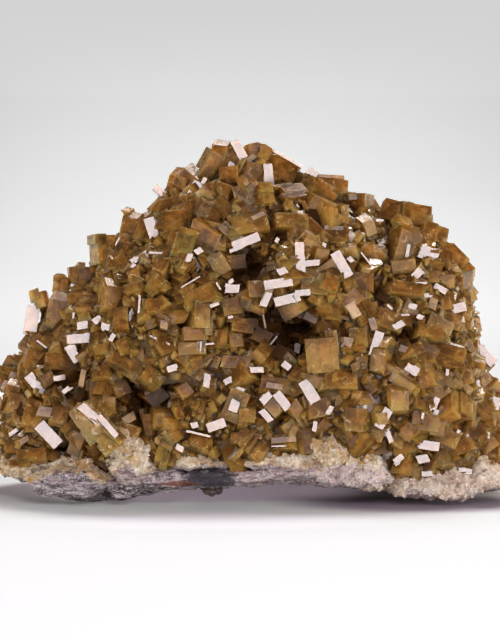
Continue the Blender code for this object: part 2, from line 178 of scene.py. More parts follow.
def lumpy(a, b):
    # Slow rises and falls, from -1 to 1
    u = a * math.tau / mound["wave"]
    v = b * math.tau / mound["wave"]
    phase = mound["phase"]
    return 0.5 * (math.sin(u + phase + 1.3 * math.sin(v * 0.8 + phase))
                  + math.sin(v * 1.17 - phase + 1.1 * math.sin(u * 0.7)))


def dents(rows, x, z, exp=math.exp):
    # What each round dent or lump adds at a place of the front
    return [depth * exp(-((x - px) ** 2 + (z - pz) ** 2) / radius ** 2)
            for px, pz, radius, depth in rows]


def hollowAt(x, z):
    return max(dents(hollows, x, z))


halfLength = mound["length"] / 2 - mound["standOut"] + mound["longer"]
fullDepth = mound["depth"] / 2 - mound["standOut"] + mound["deeper"]


def halfDepth(x):
    return fullDepth * math.sqrt(max(0.0, 1 - min(1.0, abs(x) / halfLength) ** 3))


def moundHeight(x):
    tips = between(mound["skyline"], x)
    return max(mound["leastHeight"], tips - mound["standOut"] - mound["floor"])


def moundPoint(x, angle):
    # A point of the mound's surface: 0 degrees is the front's foot, 90 the top, 180 the back's
    turn = math.radians(angle)
    y = mound["centreY"] - halfDepth(x) * math.cos(turn)
    z = mound["floor"] + moundHeight(x) * math.sin(turn)
    uneven = mound["uneven"] * lumpy(x, z + y)
    if angle < 90:
        for dent in dents(mound["relief"], x, z):
            uneven += dent
    outward = Vector((0.0, -math.cos(turn), 0.35 * math.sin(turn)))
    return Vector((x, y, z)) + outward * uneven


def moundOutward(x, angle):
    here = moundPoint(x, angle)
    along = moundPoint(x + 1.0, angle) - moundPoint(x - 1.0, angle)
    over = moundPoint(x, angle + 1.5) - moundPoint(x, angle - 1.5)
    outward = along.cross(over).normalized()
    middle = Vector((x * 0.6, mound["centreY"], here.z * 0.5))
    return outward if outward.dot(here - middle) > 0 else -outward


def frontY(x, z):
    share = min(0.995, max(0.02, (z - mound["floor"]) / moundHeight(x)))
    return moundPoint(x, math.degrees(math.asin(share))).y


def photoPoint(x, z, standOut):
    # The spot in front of the mound that the camera sees at this place of the photograph
    tip = math.radians(cameraSet["rise"])
    _, aimY, aimZ = Vector(cameraSet["aim"]) / mm
    focal = cameraSet["lens"] / cameraSet["sensor"] * photo["rows"] * photo["scale"]
    spot = Vector((x, frontY(x, z) - standOut, z))
    for _ in range(4):
        deep = (cameraSet["distance"] / mm + (spot.y - aimY) * math.cos(tip)
                - (spot.z - aimZ) * math.sin(tip))
        rise = (z - photo["middle"]) * deep / focal
        spot.x = x * deep / focal
        spot.z = aimZ + (rise - (spot.y - aimY) * math.sin(tip)) / math.cos(tip)
        spot.y = frontY(spot.x, spot.z) - standOut
    return spot


def placed(point, normal, turn):
    # The axes of a crystal: its long side, turned from level, its short side, and its face's way
    level = Vector((-normal.y, normal.x, 0.0))
    if level.length < 0.05:
        level = Vector((1.0, 0.0, 0.0))
    level.normalize()
    rise = normal.cross(level)
    angle = math.radians(turn)
    along = level * math.cos(angle) + rise * math.sin(angle)
    across = normal.cross(along)
    axes = Matrix((along, across, normal)).transposed().to_4x4()
    return Matrix.Translation(point) @ axes


def towardsLight(point):
    # The face direction that throws the mirror softbox's light into the camera
    spot = point * mm
    toCamera = (camera.location - spot).normalized()
    toLight = (softboxes["mirror"].location - spot).normalized()
    return (toCamera + toLight).normalized()


# Crystals that stand out on the front: middle of the broad face (x, z), turn, length, width,
# depth behind the face, and how far the face looks to the side and up
shownCrystals = [
    (-23.5, 119, 52, 12, 9, 9, -22, 4), (-14, 124.5, 62, 11, 6, 10, 14, -8),
    (-8, 122, 100, 12, 7, 10, -18, 30), (-12, 116, 20, 12, 8, 10, 24, 32),
    (-53, 94, 90, 11, 7, 9, 24, 6), (-45, 103, 80, 11, 6, 9, -20, 8),
    (-50, 76, 80, 14, 7.5, 10, 20, 0), (-35.5, 81, 60, 8, 5.5, 9, -28, 22),
    (-35, 73.5, 0, 11, 5.5, 9, 6, 34), (-19, 77, 30, 16, 6.5, 9, -14, 32),
    (-17.5, 70, 85, 10, 6, 9, 26, 10), (-75.5, 76, 5, 6.5, 6, 9, 26, 18),
    (-81.5, 58.5, 20, 8, 6.5, 9, -24, 8), (-86.5, 50, -20, 12, 7, 11, -18, 26),
    (-54.5, 49, 0, 9, 4.5, 9, 4, 34), (-47, 59, 35, 8.5, 5, 9, -20, 26),
    (-35.5, 47, -40, 8, 5.5, 9, 26, 18), (-32, 31, 85, 9.5, 6, 9, 22, 4),
    (-19, 23, -15, 10, 4.5, 8, 8, 30), (-81, 18, 8, 11, 5, 9, -10, 28),
    (15.5, 105, -4, 16, 6, 9, 6, 36), (26.5, 113, -30, 17, 13, 13, 24, 12),
    (39, 109.5, 90, 11, 7.5, 10, -22, 6), (44.5, 102, -70, 10, 4.5, 8, 28, 2),
    (52, 109, -15, 12, 8, 10, -16, 28), (62, 107, -10, 12, 8, 10, 26, 14),
    (58.5, 94.5, 72, 18, 9, 11, 24, 0), (76, 91, -50, 14, 8, 10, 22, 22),
    (69.5, 100, -20, 8.5, 6.5, 9, 28, 16), (58.5, 80, -10, 16, 5, 9, 4, 34),
    (30, 82, -25, 10, 6.5, 9, 20, 26), (14.5, 72, 30, 8.5, 7, 9, -26, -10),
    (29, 55, 5, 13.5, 12.5, 11, 18, 2), (67, 64, -6, 14, 4.5, 9, 4, 32),
    (73.5, 57, -18, 13, 4.5, 9, 10, 32), (83.5, 66, 100, 10, 5, 9, 30, 4),
    (80.5, 35, -15, 12, 7, 9, 24, 14), (38.5, 31, 90, 8.5, 7, 9, -24, 6),
    (55.5, 38, 90, 12, 7, 9, 20, 0), (47, 53, 85, 13, 5.5, 9, -26, 4),
    (41, 61.5, 90, 7, 5, 8, 22, 16),
]

# Crystals whose broad face mirrors the softbox: x, z, turn, length, width, depth
brightCrystals = [
    (-4, 131, 118, 7.5, 4, 9), (-21.5, 114.5, 62, 10.5, 4, 8), (-36, 100.5, 106, 11, 4.5, 9),
    (-80.5, 68.5, 80, 10, 5.5, 9), (-46, 95.5, -25, 7.5, 4, 8), (-39.5, 91, 35, 8, 4, 8),
    (-1.5, 97, 21, 10.5, 4, 9), (7, 121, 95, 9.5, 4, 9), (18.5, 91.5, 92, 10.5, 4, 9),
    (34, 88.5, -61, 10.5, 4.5, 9), (10.5, 81.5, 8, 10.5, 4, 9), (13.5, 75.5, 14, 9, 4, 8),
    (66.5, 93, -20, 7, 4.5, 8), (75.5, 72, 14, 9, 4, 9), (47, 60, 72, 7.5, 4, 8),
    (24, 57.5, -62, 7.5, 4, 8), (87, 55, -45, 9.5, 4.5, 10), (90.5, 35.5, 75, 8, 4, 10),
    (22, 41.5, -60, 9, 5, 9), (12, 38, -53, 7.5, 4, 8), (49.5, 31.5, 60, 8, 4, 8),
    (66, 21.5, -8, 8, 4, 8), (-79, 44, -50, 9.5, 4.5, 9), (-74.5, 25.5, -48, 10.5, 5.5, 9),
    (-63, 61, 3, 9.5, 4, 9), (-5, 38.5, 70, 9.5, 4, 9), (-12.5, 29, 20, 7, 4, 8),
    (-65.5, 55.5, -60, 7, 4, 8),
]

# Smaller mirror faces, too small for the solid: x, z, turn, length, width
smallBright = [
    (-33.5, 116, -45, 4.5, 3), (-42, 87, -38, 4.5, 2.2), (-19, 93.5, 30, 2.8, 2.6),
    (-22.5, 91, 70, 3.2, 2.3), (-6.5, 79.5, 0, 5, 3.5), (0.5, 113.5, 100, 7, 2.5),
    (23, 122.5, -20, 4.4, 2.6), (23, 89, 5, 5.5, 2.6), (12, 86, 20, 3.4, 3),
    (19.5, 78, 5, 5.6, 2.6), (6, 75.5, 65, 5.5, 2.8), (62, 85, 45, 4, 3.4),
    (70.5, 79.5, -30, 5, 2.6), (78, 68, 10, 2.8, 2.8), (60, 73, -10, 3.5, 2.2),
    (64, 77, 8, 4.5, 1.4), (55, 66, 30, 4.2, 2.8), (60, 49.5, -35, 5, 3.4),
    (68.5, 37, 65, 4.8, 2.6), (83.5, 44, 20, 3.4, 3), (6, 39, 45, 4.6, 3),
    (6, 32.5, -50, 5.4, 2.8), (2.5, 49.5, 0, 5, 2.4), (13.5, 51, -40, 3.3, 2.8),
    (29.5, 34.5, 60, 3.4, 2), (24, 28.5, 80, 3.8, 1.8), (51.5, 25, -70, 5, 2),
    (64, 16.5, 10, 4.4, 3.4), (55, 16.5, 40, 4, 2.6), (65.5, 11, 5, 4, 2.2),
    (80, 12, -8, 4.4, 2.4), (-70.5, 46.5, 8, 4.4, 2.2), (-68, 42, 40, 3.2, 1.8),
    (-62, 66, 10, 4, 3.3), (-56.5, 68, 35, 3.4, 2.8), (-53.5, 65.5, -20, 3.2, 2.6),
    (-51, 61.5, 60, 3, 2), (-68.5, 77, 20, 3, 2.6), (-64.5, 79.5, -15, 4.2, 3.4),
    (-16, 45.5, 80, 5, 2.8), (-8, 45.5, 30, 3.4, 2.4), (-20.5, 29, 10, 2.6, 2.4),
    (-39, 18, 25, 3, 2.6), (-26, 20.5, -30, 3, 2.4), (-29, 50, 15, 3.4, 2.8),
]

# Crystals that fill the front between those: x, z, turn, length, width, depth, how far the
# face looks to the side and up, and tone from dark to golden
extraCrystals = [
    (56, 13, 20, 8, 5, 8, -14, 30, 0.6), (61.5, 11.5, -25, 7, 4.5, 8, 22, 8, 0.7),
    (66.5, 14, 80, 7, 4, 8, -20, 6, 0.5), (70.5, 10.5, 10, 6.5, 4, 7, 12, 30, 0.8),
    (75, 13.5, -40, 8, 5, 8, 24, 10, 0.6), (79.5, 11, 65, 6, 4, 7, -22, 12, 0.7),
    (83.5, 14, 15, 8, 5, 8, 16, 28, 0.55), (88.5, 12, -30, 7, 4.5, 8, 26, 8, 0.75),
    (64.5, 9, 50, 5, 3.5, 6, -18, 20, 0.8), (-88, 15.5, 40, 7, 4.5, 7, -16, 24, 0.6),
    (-72, 17.5, -20, 7, 4, 7, 20, 10, 0.5), (-66, 20, 70, 6, 4, 7, -20, 20, 0.4),
    (-11.5, 130.8, 84, 8, 6, 8, -14, 4, 0.3), (-9, 125, 20, 15, 12, 9, -8, 12, 0.75),
    (1.5, 131.3, 12, 8, 4.6, 7, 5, 20, 0.25), (5.6, 129.8, -35, 7.5, 6, 8, 12, 10, 0.9),
    (1, 121.8, -28, 11, 8.5, 9, 10, 14, 0.8), (13, 123.5, -32, 14, 8, 9, 20, 18, 0.6),
    (-11, 114.5, -20, 11, 9, 9, -4, 18, 0.6), (-14, 105.5, 55, 8, 5, 7, -14, 6, 0.6),
    (-17.8, 108.8, 62, 8, 6, 7, -20, 4, 0.45), (-1, 111.5, 105, 11, 6, 8, -8, 6, 0.6),
    (0, 103.8, 12, 13.5, 7.5, 9, 3, 26, 0.85), (-12.3, 96.4, -5, 9, 5.5, 8, -6, 14, 0.7),
    (-27, 104.5, 5, 12, 9, 9, -14, 22, 0.4), (-27.5, 97, -12, 9, 6.5, 8, -8, 12, 0.65),
    (30.5, 116, -8, 12, 9, 9, 16, 10, 0.55), (26, 108.5, -25, 12, 9, 9, 4, -4, 1.0),
    (18, 117, -55, 10, 6.5, 8, -18, 8, 0.7), (45.5, 91.8, -45, 10, 7.5, 8, 8, 12, 0.5),
    (31.5, 99.8, 2, 11.5, 6, 8, 0, 20, 0.45), (56.5, 107.2, -28, 9, 4.5, 7, 10, 6, 0.5),
    (57, 87.5, 8, 9, 5, 8, 4, -8, 0.95), (68, 84, 0, 6, 4.4, 6, 4, 6, 0.95),
    (80.5, 81.5, 80, 6, 4.5, 6, 24, 6, 0.8), (61, 100, 70, 9, 8, 8, -4, 10, 0.7),
    (-65.5, 84.5, 8, 7, 6.5, 8, -16, 4, 0.4), (-59.5, 84, -6, 7.5, 7.5, 8, 8, 10, 0.4),
    (-70.5, 80.5, 84, 7, 5.5, 7, -20, 6, 0.35), (-71, 69.5, 78, 16, 9, 9, -18, -6, 0.2),
    (-60.5, 75.5, 6, 14, 5.5, 8, 0, 30, 0.25), (-46, 83.4, 0, 10, 3, 7, 0, 42, 0.7),
    (-77, 58.5, -35, 10, 6, 8, -14, 4, 0.35), (-83, 58, -40, 8, 5, 7, -20, 0, 0.3),
    (-11.5, 88.5, -60, 8, 6, 8, -10, -6, 0.75), (-5, 89.5, 5, 7, 5, 8, 6, 4, 0.3),
    (-31.5, 91.3, -4, 9, 4.5, 8, -2, 20, 0.6), (3.5, 79.5, 0, 8, 6, 7, 10, 8, 0.75),
    (-5, 60.5, 4, 9, 5, 8, 4, 12, 0.95), (-11, 61, 88, 8.5, 4.5, 7, -12, 8, 0.5),
    (-21.5, 57.5, 3, 10, 4.5, 7, -4, 16, 0.9), (-20, 63, 0, 9, 5, 7, 6, 10, 0.4),
    (4.5, 62, -32, 11, 5.5, 8, 6, 14, 0.4), (-7, 73, 10, 8, 6, 7, -4, 4, 0.3),
    (-2.5, 66, -10, 8, 5, 7, 8, 6, 0.3), (24.5, 81.5, -8, 11, 8, 9, 14, 16, 0.75),
    (24.5, 76.5, -30, 8, 5, 7, 0, 20, 1.0), (19, 70.5, 72, 7, 3, 6, 20, 8, 0.6),
    (37.5, 75.5, 42, 12, 5.5, 8, -8, 20, 0.45), (42, 82, -5, 10, 7, 8, 8, 14, 0.45),
    (31, 71, -10, 8, 6, 7, 0, 12, 0.85), (27.5, 66, 10, 10, 5, 8, -10, 24, 0.75),
    (51, 57.5, 80, 8, 4.5, 7, 16, 4, 0.8), (52, 68, -20, 10, 7, 8, 6, 8, 0.6),
    (12.5, 55.5, -25, 8, 5, 7, 0, 14, 0.6), (57.5, 68.5, -4, 9, 5, 8, 4, 14, 0.4),
    (70, 74, 5, 9, 5, 7, 4, 12, 0.55), (74.5, 67.5, -15, 8, 6, 7, 14, 4, 0.6),
    (85.5, 52, -48, 12, 7, 9, 20, 2, 0.8), (65, 56, -30, 9, 7, 8, 2, 10, 0.55),
    (79.5, 47.5, 10, 9, 7, 8, 10, 8, 0.6), (64.5, 46.5, 20, 9, 7, 8, 0, 6, 0.55),
    (55, 47, -25, 8, 6, 8, -4, 6, 0.45), (-79, 53, -12, 13, 7, 9, -10, 8, 0.25),
    (-70, 52.5, -5, 12, 6, 8, 0, 14, 0.3), (-74.5, 46, -60, 8, 5, 7, 14, 0, 0.2),
    (-56, 42.5, 5, 9, 8, 8, 0, 8, 0.55), (-47.5, 43, 20, 8, 6, 7, 8, 10, 0.7),
    (-86, 37, 80, 12, 8, 9, -12, 4, 0.5), (-80, 33.5, 75, 12, 7, 8, -4, 10, 0.6),
    (-70.5, 32.5, 75, 10, 6.5, 8, 10, 4, 0.5), (-69, 25, 78, 9, 4, 7, 14, 0, 0.5),
    (-52.5, 36.5, 80, 8, 4.5, 7, 10, 0, 0.5), (-43, 50, 60, 8, 6, 7, 0, 8, 0.8),
    (-24, 42, -62, 9, 5, 8, 6, 14, 0.6), (-38, 29, 10, 7, 8, 8, -10, 4, 0.15),
    (-5.5, 36, 68, 12, 7.5, 8, -4, 0, 0.6), (-1, 32.5, 85, 9, 6, 8, 6, 4, 0.9),
    (-15.5, 43, 85, 9, 6, 8, 2, 4, 0.7), (-3.5, 24.5, 5, 9, 4, 7, 0, 20, 0.5),
    (-27.5, 25.5, 30, 8, 5, 7, 4, 8, 0.75), (-45, 27, -20, 8, 5, 7, -8, 8, 0.75),
    (26, 35.5, 10, 11, 7, 8, 4, 10, 0.7), (34, 45.5, -4, 14, 6, 8, 6, 14, 0.6),
    (42.5, 39, 0, 8, 5, 7, 4, 12, 0.75), (44, 43.5, 40, 7, 6, 7, 0, 8, 0.4),
    (45.5, 26, -20, 8, 4.5, 7, -10, 6, 0.75), (12, 23, 4, 11, 5.5, 8, 0, 16, 0.6),
    (9.5, 44, -12, 11, 6, 8, 2, 18, 0.5), (9.5, 36, -45, 8, 6.5, 8, 0, 6, 0.7),
    (17.5, 18.5, 0, 7, 4, 6, 0, 8, 0.55), (37.5, 24, 30, 8, 5, 7, 0, 8, 0.4),
    (65, 30.5, -10, 10, 7, 8, 2, 8, 0.7), (72, 36, 10, 7, 6, 7, 4, 4, 0.5),
    (87.5, 44, -30, 8, 6, 8, 16, 4, 0.75), (73, 24.5, -25, 9, 6, 8, 6, 4, 0.7),
    (84, 26.5, 15, 10, 5, 8, 6, 14, 0.45), (78, 21, 20, 10, 5, 7, 4, 10, 0.65),
    (88, 19, 10, 10, 5, 8, 10, 6, 0.55), (86.5, 13.5, 75, 8, 5, 7, 8, 4, 0.75),
    (70, 16.5, 25, 9, 5, 7, 0, 12, 0.75), (57, 21, 15, 10, 5, 7, -4, 10, 0.4),
    (58.5, 26.5, -35, 9, 6, 8, -2, 4, 0.35), (-89, 50, -30, 9, 7, 9, -20, 6, 0.35),
]

# Faces that catch the softbox only partly: x, z, turn, length, width
dimFaces = [
    (0.5, 127.8, 35, 3.6, 2), (39.5, 113.6, 4, 6, 2.2), (56.5, 108, -28, 6.5, 2),
    (30, 121.1, -3, 10, 1.2), (21.5, 98.5, -35, 5, 4), (3, 106.5, 25, 5, 1.6),
    (31, 102, -4, 7, 1.4), (-31.8, 66.2, 85, 3, 2.6), (22.5, 68.8, -25, 5, 3),
    (45.5, 66.5, -75, 4.5, 2.4), (67.7, 74, 75, 4, 3), (-56.2, 72.5, 20, 2.6, 2.2),
    (-62, 46.5, 78, 6, 1.8), (-75.5, 34, -10, 6, 3.6), (-44.8, 31.5, 30, 5, 3),
    (-37, 40.3, 6, 3.6, 2.6), (-83.5, 23.5, 30, 3.5, 2), (36, 59.5, 70, 4, 3.6),
    (29, 57.5, 8, 8, 3.4), (6.5, 77.5, 65, 6, 2.6), (-23, 96.5, -30, 2.2, 2),
    (17.5, 57.5, 80, 3.5, 2), (78.5, 36.5, -16, 8, 3), (-86, 47, -18, 6, 2.4),
    (9, 43.5, -10, 6, 2), (57.5, 57, -20, 4.5, 2.4), (12.5, 23.6, 4, 9, 2),
]

# Thin bright edges of crystals seen almost edge-on: x, z, turn, length, width
brightLines = [
    (14, 127.6, -30, 12.5, 1.1), (-14, 98.9, -8, 8.5, 0.8), (-32, 92.6, -4, 10, 0.7),
    (-18.2, 58, 88, 3.6, 0.8), (-15.5, 59, 6, 4.5, 0.7), (8.5, 60, 50, 5, 0.7),
    (5.3, 67.5, 100, 5, 0.6), (-33.5, 60.5, -25, 8, 0.7), (-62.2, 72.5, -25, 4.5, 0.7),
    (-65.4, 69, 85, 3.4, 0.8), (-41, 73.5, 86, 7.5, 0.8), (44.8, 57, 72, 4, 0.8),
    (75, 59, -18, 9, 0.7), (58.3, 93, 80, 6, 1.3), (65, 76.6, 2, 5, 0.8),
    (-19, 25.8, -14, 9, 0.8), (10.5, 21.2, 0, 5, 0.5), (57.5, 69.8, 2, 3, 0.7),
    (-22, 82, 30, 8, 0.5), (-11.7, 80.5, -60, 3, 0.7), (43, 90.5, -52, 6, 0.6),
    (62, 81.6, 0, 7, 0.8), (-7, 82.2, 40, 2, 1.4), (-13.2, 73.5, 20, 3.4, 1.2),
    (-7.2, 69, 10, 1.8, 1), (18.5, 107.7, 0, 2.2, 1.4), (41.3, 99.3, 70, 2.2, 1.6),
    (37.2, 90.3, -45, 2.2, 1.8), (27.3, 95, 80, 3, 1.4), (51.7, 72.7, -40, 2.4, 0.9),
    (29.4, 63.6, 80, 2, 0.9), (37.5, 64, 10, 1.8, 1.4), (75.5, 76.3, 80, 2.2, 1.6),
    (63, 69, -20, 2.4, 1.8), (77.5, 81.8, 80, 2.6, 2.2), (73, 48.5, 80, 2.4, 1.2),
    (10, 97.5, 60, 1.8, 1.4), (-7, 125, 70, 2.6, 2.2), (42.5, 35.3, 80, 2.4, 1.2),
    (77, 26.3, 60, 2, 1.2), (80, 25.2, 0, 2, 0.8), (88.3, 25.2, 85, 2.4, 0.9),
    (69, 33.8, 60, 2, 1.6), (63.9, 32.5, 80, 2.4, 0.9), (78.5, 12.5, 0, 2.6, 1.6),
    (82, 11.5, 20, 2.4, 1.2), (-87.5, 26.5, 35, 4, 1.4), (-76.5, 58.5, -38, 6, 0.6),
]

# The long crystal on the pale rib, with bright faces along its upper edge
ribCrystals = [
    (-61, 29.5, -55, 14, 6, 8, -22, -6, 1.0), (-53.5, 23, -50, 9, 5.5, 8, -10, 4, 1.0),
    (-64.5, 22, 70, 9, 5, 7, -26, 0, 0.6), (-50, 26, -45, 9, 4, 7, 20, 14, 0.8),
]
ribFaces = [
    (-59.3, 33.3, -42, 9, 3.2), (-52.6, 28.6, -50, 10, 2.2), (-56.5, 31.5, -30, 5, 2),
]

growth = {
    "seed": 7,
    "shownStandOut": 4.5,
    "extraStandOut": (2.2, 3.8),
    "ribStandOut": 7.5,
    "brightWidth": 0.84,
    "blunt": 0.55,
    "clearAngle": 9.0,
    "clearStep": 4,
    "mirrorLimit": 0.988,
    "over": (-4.0, 9.0),
    "frontSide": -20.0,
    "underCrust": 0.5,
    "bevel": 0.18,
    "batch": 120,
}

# Lone faces: rows, polish, how far they stand out, share of the width, numbers of neighbours
faceRows = [
    (smallBright, 1.0, 4.3, 0.86, (0, 0, 1)), (brightLines, 1.0, 4.3, 1.0, ()),
    (dimFaces, -1.0, 4.3, 1.0, ()), (ribFaces, 1.0, 9.0, 1.0, ()),
]
faceDepth = 4.0

# Large crystals that fill the rest of the mound; inTop is where the skyline's gaps begin
fillSet = {
    "seed": 41,
    "lookSeed": 8,
    "tries": 4200,
    "ends": 0.985,
    "angles": (3, 177),
    "length": (9.0, 15.0),
    "width": (6.5, 10.0),
    "thickness": (5.0, 8.5),
    "rooted": 3.5,
    "tilt": 0.7,
    "blunt": 0.6,
    "slant": 0.22,
    "spaceFront": 11.2,
    "spaceBack": 15.4,
    "hollow": 4.5,
    "inTop": 100.0,
}

# Crystals between and on the larger ones. The tilt is how far they lean away from the mound's
# surface, and the lift how far their faces stand above it.
betweenSet = [
    {"name": "middling", "seed": 52, "tries": 12000, "length": (7.5, 13.5), "width": (3.4, 5.8),
     "depth": (5.0, 8.0), "space": 5.6, "spaceBack": 7.4, "tilt": 1.0, "lift": (0.0, 2.8),
     "bevel": 0.14},
    {"name": "small", "seed": 53, "tries": 26000, "length": (3.0, 5.6), "width": (1.6, 3.2),
     "depth": (2.6, 4.4), "space": 3.1, "spaceBack": 4.6, "tilt": 1.4, "lift": (0.0, 2.8),
     "bevel": 0.08},
    {"name": "tiny", "seed": 54, "tries": 34000, "length": (1.4, 3.4), "width": (0.7, 1.7),
     "depth": (1.8, 3.0), "space": 1.8, "spaceBack": 4.0, "tilt": 1.5, "lift": (0.2, 2.6),
     "bevel": 0.0},
]


def facingClear(point, side, up):
    # A face direction, turned aside where the face would mirror the softbox
    mirror = towardsLight(point)
    step = growth["clearStep"]
    while math.degrees(facing(side, up).angle(mirror)) < growth["clearAngle"]:
        up += step
        side += step if side > 0 else -step
    return facing(side, up)


def crystal(matrix, length, width, depth, ends=0.0, slant=0.0, tone=0.5, polish=0.0):
    return {"matrix": matrix, "length": length, "width": width, "depth": depth,
            "ends": ends, "slant": slant, "tone": tone, "polish": polish}


def shifted(one, x, y, z, twist, length, width, tone):
    # A neighbour grown parallel to a crystal, moved in the crystal's own axes
    turn = Matrix.Rotation(math.radians(twist), 4, "Z")
    matrix = one["matrix"] @ Matrix.Translation((x + one["slant"] * y, y, -z)) @ turn
    return crystal(matrix, length, width, one["depth"] - z, one["ends"], one["slant"],
                   min(1.0, max(0.0, one["tone"] + tone)), one["polish"])


def asPlates(one, draw):
    # A thick crystal as it grows: plates side by side, a little out of step
    plates = []
    start = -one["width"] / 2
    while start < one["width"] / 2 - 0.8:
        wide = min(one["width"] * draw.uniform(0.3, 0.75), one["width"] / 2 - start)
        long = one["length"] * draw.uniform(0.6, 1.0)
        sink = draw.choice((0.0, draw.uniform(0.2, 0.9), draw.uniform(0.6, 2.4)))
        slip = (one["length"] - long) / 2 * draw.uniform(-1, 1)
        plates.append(shifted(one, slip, start + wide / 2, sink, draw.uniform(-1.5, 1.5), long,
                              wide * 1.04, draw.uniform(-0.12, 0.12)))
        start += wide * draw.uniform(0.82, 0.96)
    return plates


def withNeighbours(one, draw, count, sink):
    # A crystal with shorter ones that overlap its edges
    grown = [one]
    for _ in range(count):
        long = one["length"] * draw.uniform(0.3, 0.65)
        wide = one["width"] * draw.uniform(0.35, 0.75)
        x = draw.choice((-1, 1)) * one["length"] * draw.uniform(0.15, 0.48)
        y = draw.choice((-1, 1)) * one["width"] * draw.uniform(0.2, 0.52)
        down = draw.uniform(*sink)
        grown.append(shifted(one, x, y, down, draw.uniform(-2, 2), long, wide,
                             draw.uniform(-0.1, 0.1)))
    return grown


def listShown():
    # The crystals of the photograph, and the places that the filling ones keep clear of
    draw = random.Random(growth["seed"])
    blunt = growth["blunt"]
    crystals = []
    places = []
    rows = [(*row, False) for row in shownCrystals]
    rows += [(*row, 0.0, 0.0, True) for row in brightCrystals]
    for number, (x, z, turn, length, width, depth, side, up, bright) in enumerate(rows):
        places.append(Vector((x, frontY(x, z) - growth["shownStandOut"], z)))
        point = photoPoint(x, z, growth["shownStandOut"])
        normal = towardsLight(point) if bright else facingClear(point, side, up)
        one = crystal(placed(point, normal, turn), length,
                      width * (growth["brightWidth"] if bright else 1.0), depth,
                      0.0 if bright or number % 3 == 1 else blunt, 0.0,
                      draw.uniform(0.35, 1.0), 1.0 if bright else 0.0)
        count = draw.choice((0, 0, 1, 1) if bright else (1, 2, 2, 3))
        crystals += withNeighbours(one, draw, count, (0.05, 0.3) if bright else (0.2, 1.4))
    for x, z, turn, length, width, depth, side, up, tone in extraCrystals:
        point = photoPoint(x, z, draw.uniform(*growth["extraStandOut"]))
        one = crystal(placed(point, facingClear(point, side, up), turn), length, width, depth,
                      draw.choice((0.0, 0.3, blunt)), 0.0, tone)
        crystals += withNeighbours(one, draw, draw.choice((0, 1, 1, 2)), (0.2, 1.2))
    for x, z, turn, length, width, depth, side, up, tone in ribCrystals:
        matrix = placed(photoPoint(x, z, growth["ribStandOut"]), facing(side, up), turn)
        one = crystal(matrix, length, width, depth, tone=tone)
        crystals += withNeighbours(one, draw, 2, (0.2, 1.0))
    for rows, polish, standOut, share, counts in faceRows:
        for x, z, turn, length, width in rows:
            point = photoPoint(x, z, standOut)
            one = crystal(placed(point, towardsLight(point), turn), length, width * share,
                          faceDepth, 0.0, draw.choice((0.0, 0.2, -0.2)), draw.random(), polish)
            count = draw.choice(counts) if counts else 0
            crystals += withNeighbours(one, draw, count, (0.05, 0.25))
    return crystals, places


def facesOf(crystals):
    return {"back": np.array([one["matrix"].inverted() for one in crystals])[:, :3],
            "half": np.array([(one["length"], one["width"]) for one in crystals]) / 2 - 0.2}


def isTaken(faces, spot):
    # True over the face of a crystal that is already there, and below the crust's upper edge
    local = faces["back"] @ np.array((*spot, 1.0))
    over = (np.abs(local[:, :2]) < faces["half"]).all(axis=1)
    low, high = growth["over"]
    if (over & (local[:, 2] > low) & (local[:, 2] < high)).any():
        return True
    edge = between(crustTop, spot.x) - growth["underCrust"]
    return spot.y < growth["frontSide"] and spot.z < edge


def mirrors(spot, normal):
    # True where a face would mirror the softbox
    return spot.y < 0 and normal.dot(towardsLight(spot)) > growth["mirrorLimit"]


def listFilling(taken, faces, values):
    draw = random.Random(values["seed"])
    looks = random.Random(values["lookSeed"])
    crystals = []
    places = list(taken)
    for _ in range(values["tries"]):
        x = halfLength * draw.uniform(-values["ends"], values["ends"])
        angle = draw.uniform(*values["angles"])
        length = draw.uniform(*values["length"])
        width = draw.uniform(*values["width"])
        thickness = draw.uniform(*values["thickness"])
        tilt = Vector([draw.uniform(-values["tilt"], values["tilt"]) for _ in range(3)])
        turn = draw.uniform(0, 180)
        ends = draw.choice((0.0, 0.0, values["blunt"]))
        slant = draw.choice((0.0, 0.0, values["slant"], -values["slant"]))
        point = moundPoint(x, angle)
        space = values["spaceFront"] if angle < 90 else values["spaceBack"]
        if any((point - other).length < space for other in places):
            continue
        outward = moundOutward(x, angle)
        matrix = placed(point + outward * thickness * 0.5, (outward + tilt).normalized(), turn)
        one = crystal(matrix, length, width, thickness + values["rooted"], ends, slant,
                      looks.random())
        places.append(point)
        spot = matrix.translation
        front = spot.y < growth["frontSide"] or spot.z > values["inTop"]
        if isTaken(faces, spot) or (front and hollowAt(spot.x, spot.z) > values["hollow"]):
            continue
        crystals += asPlates(one, looks)
    return crystals


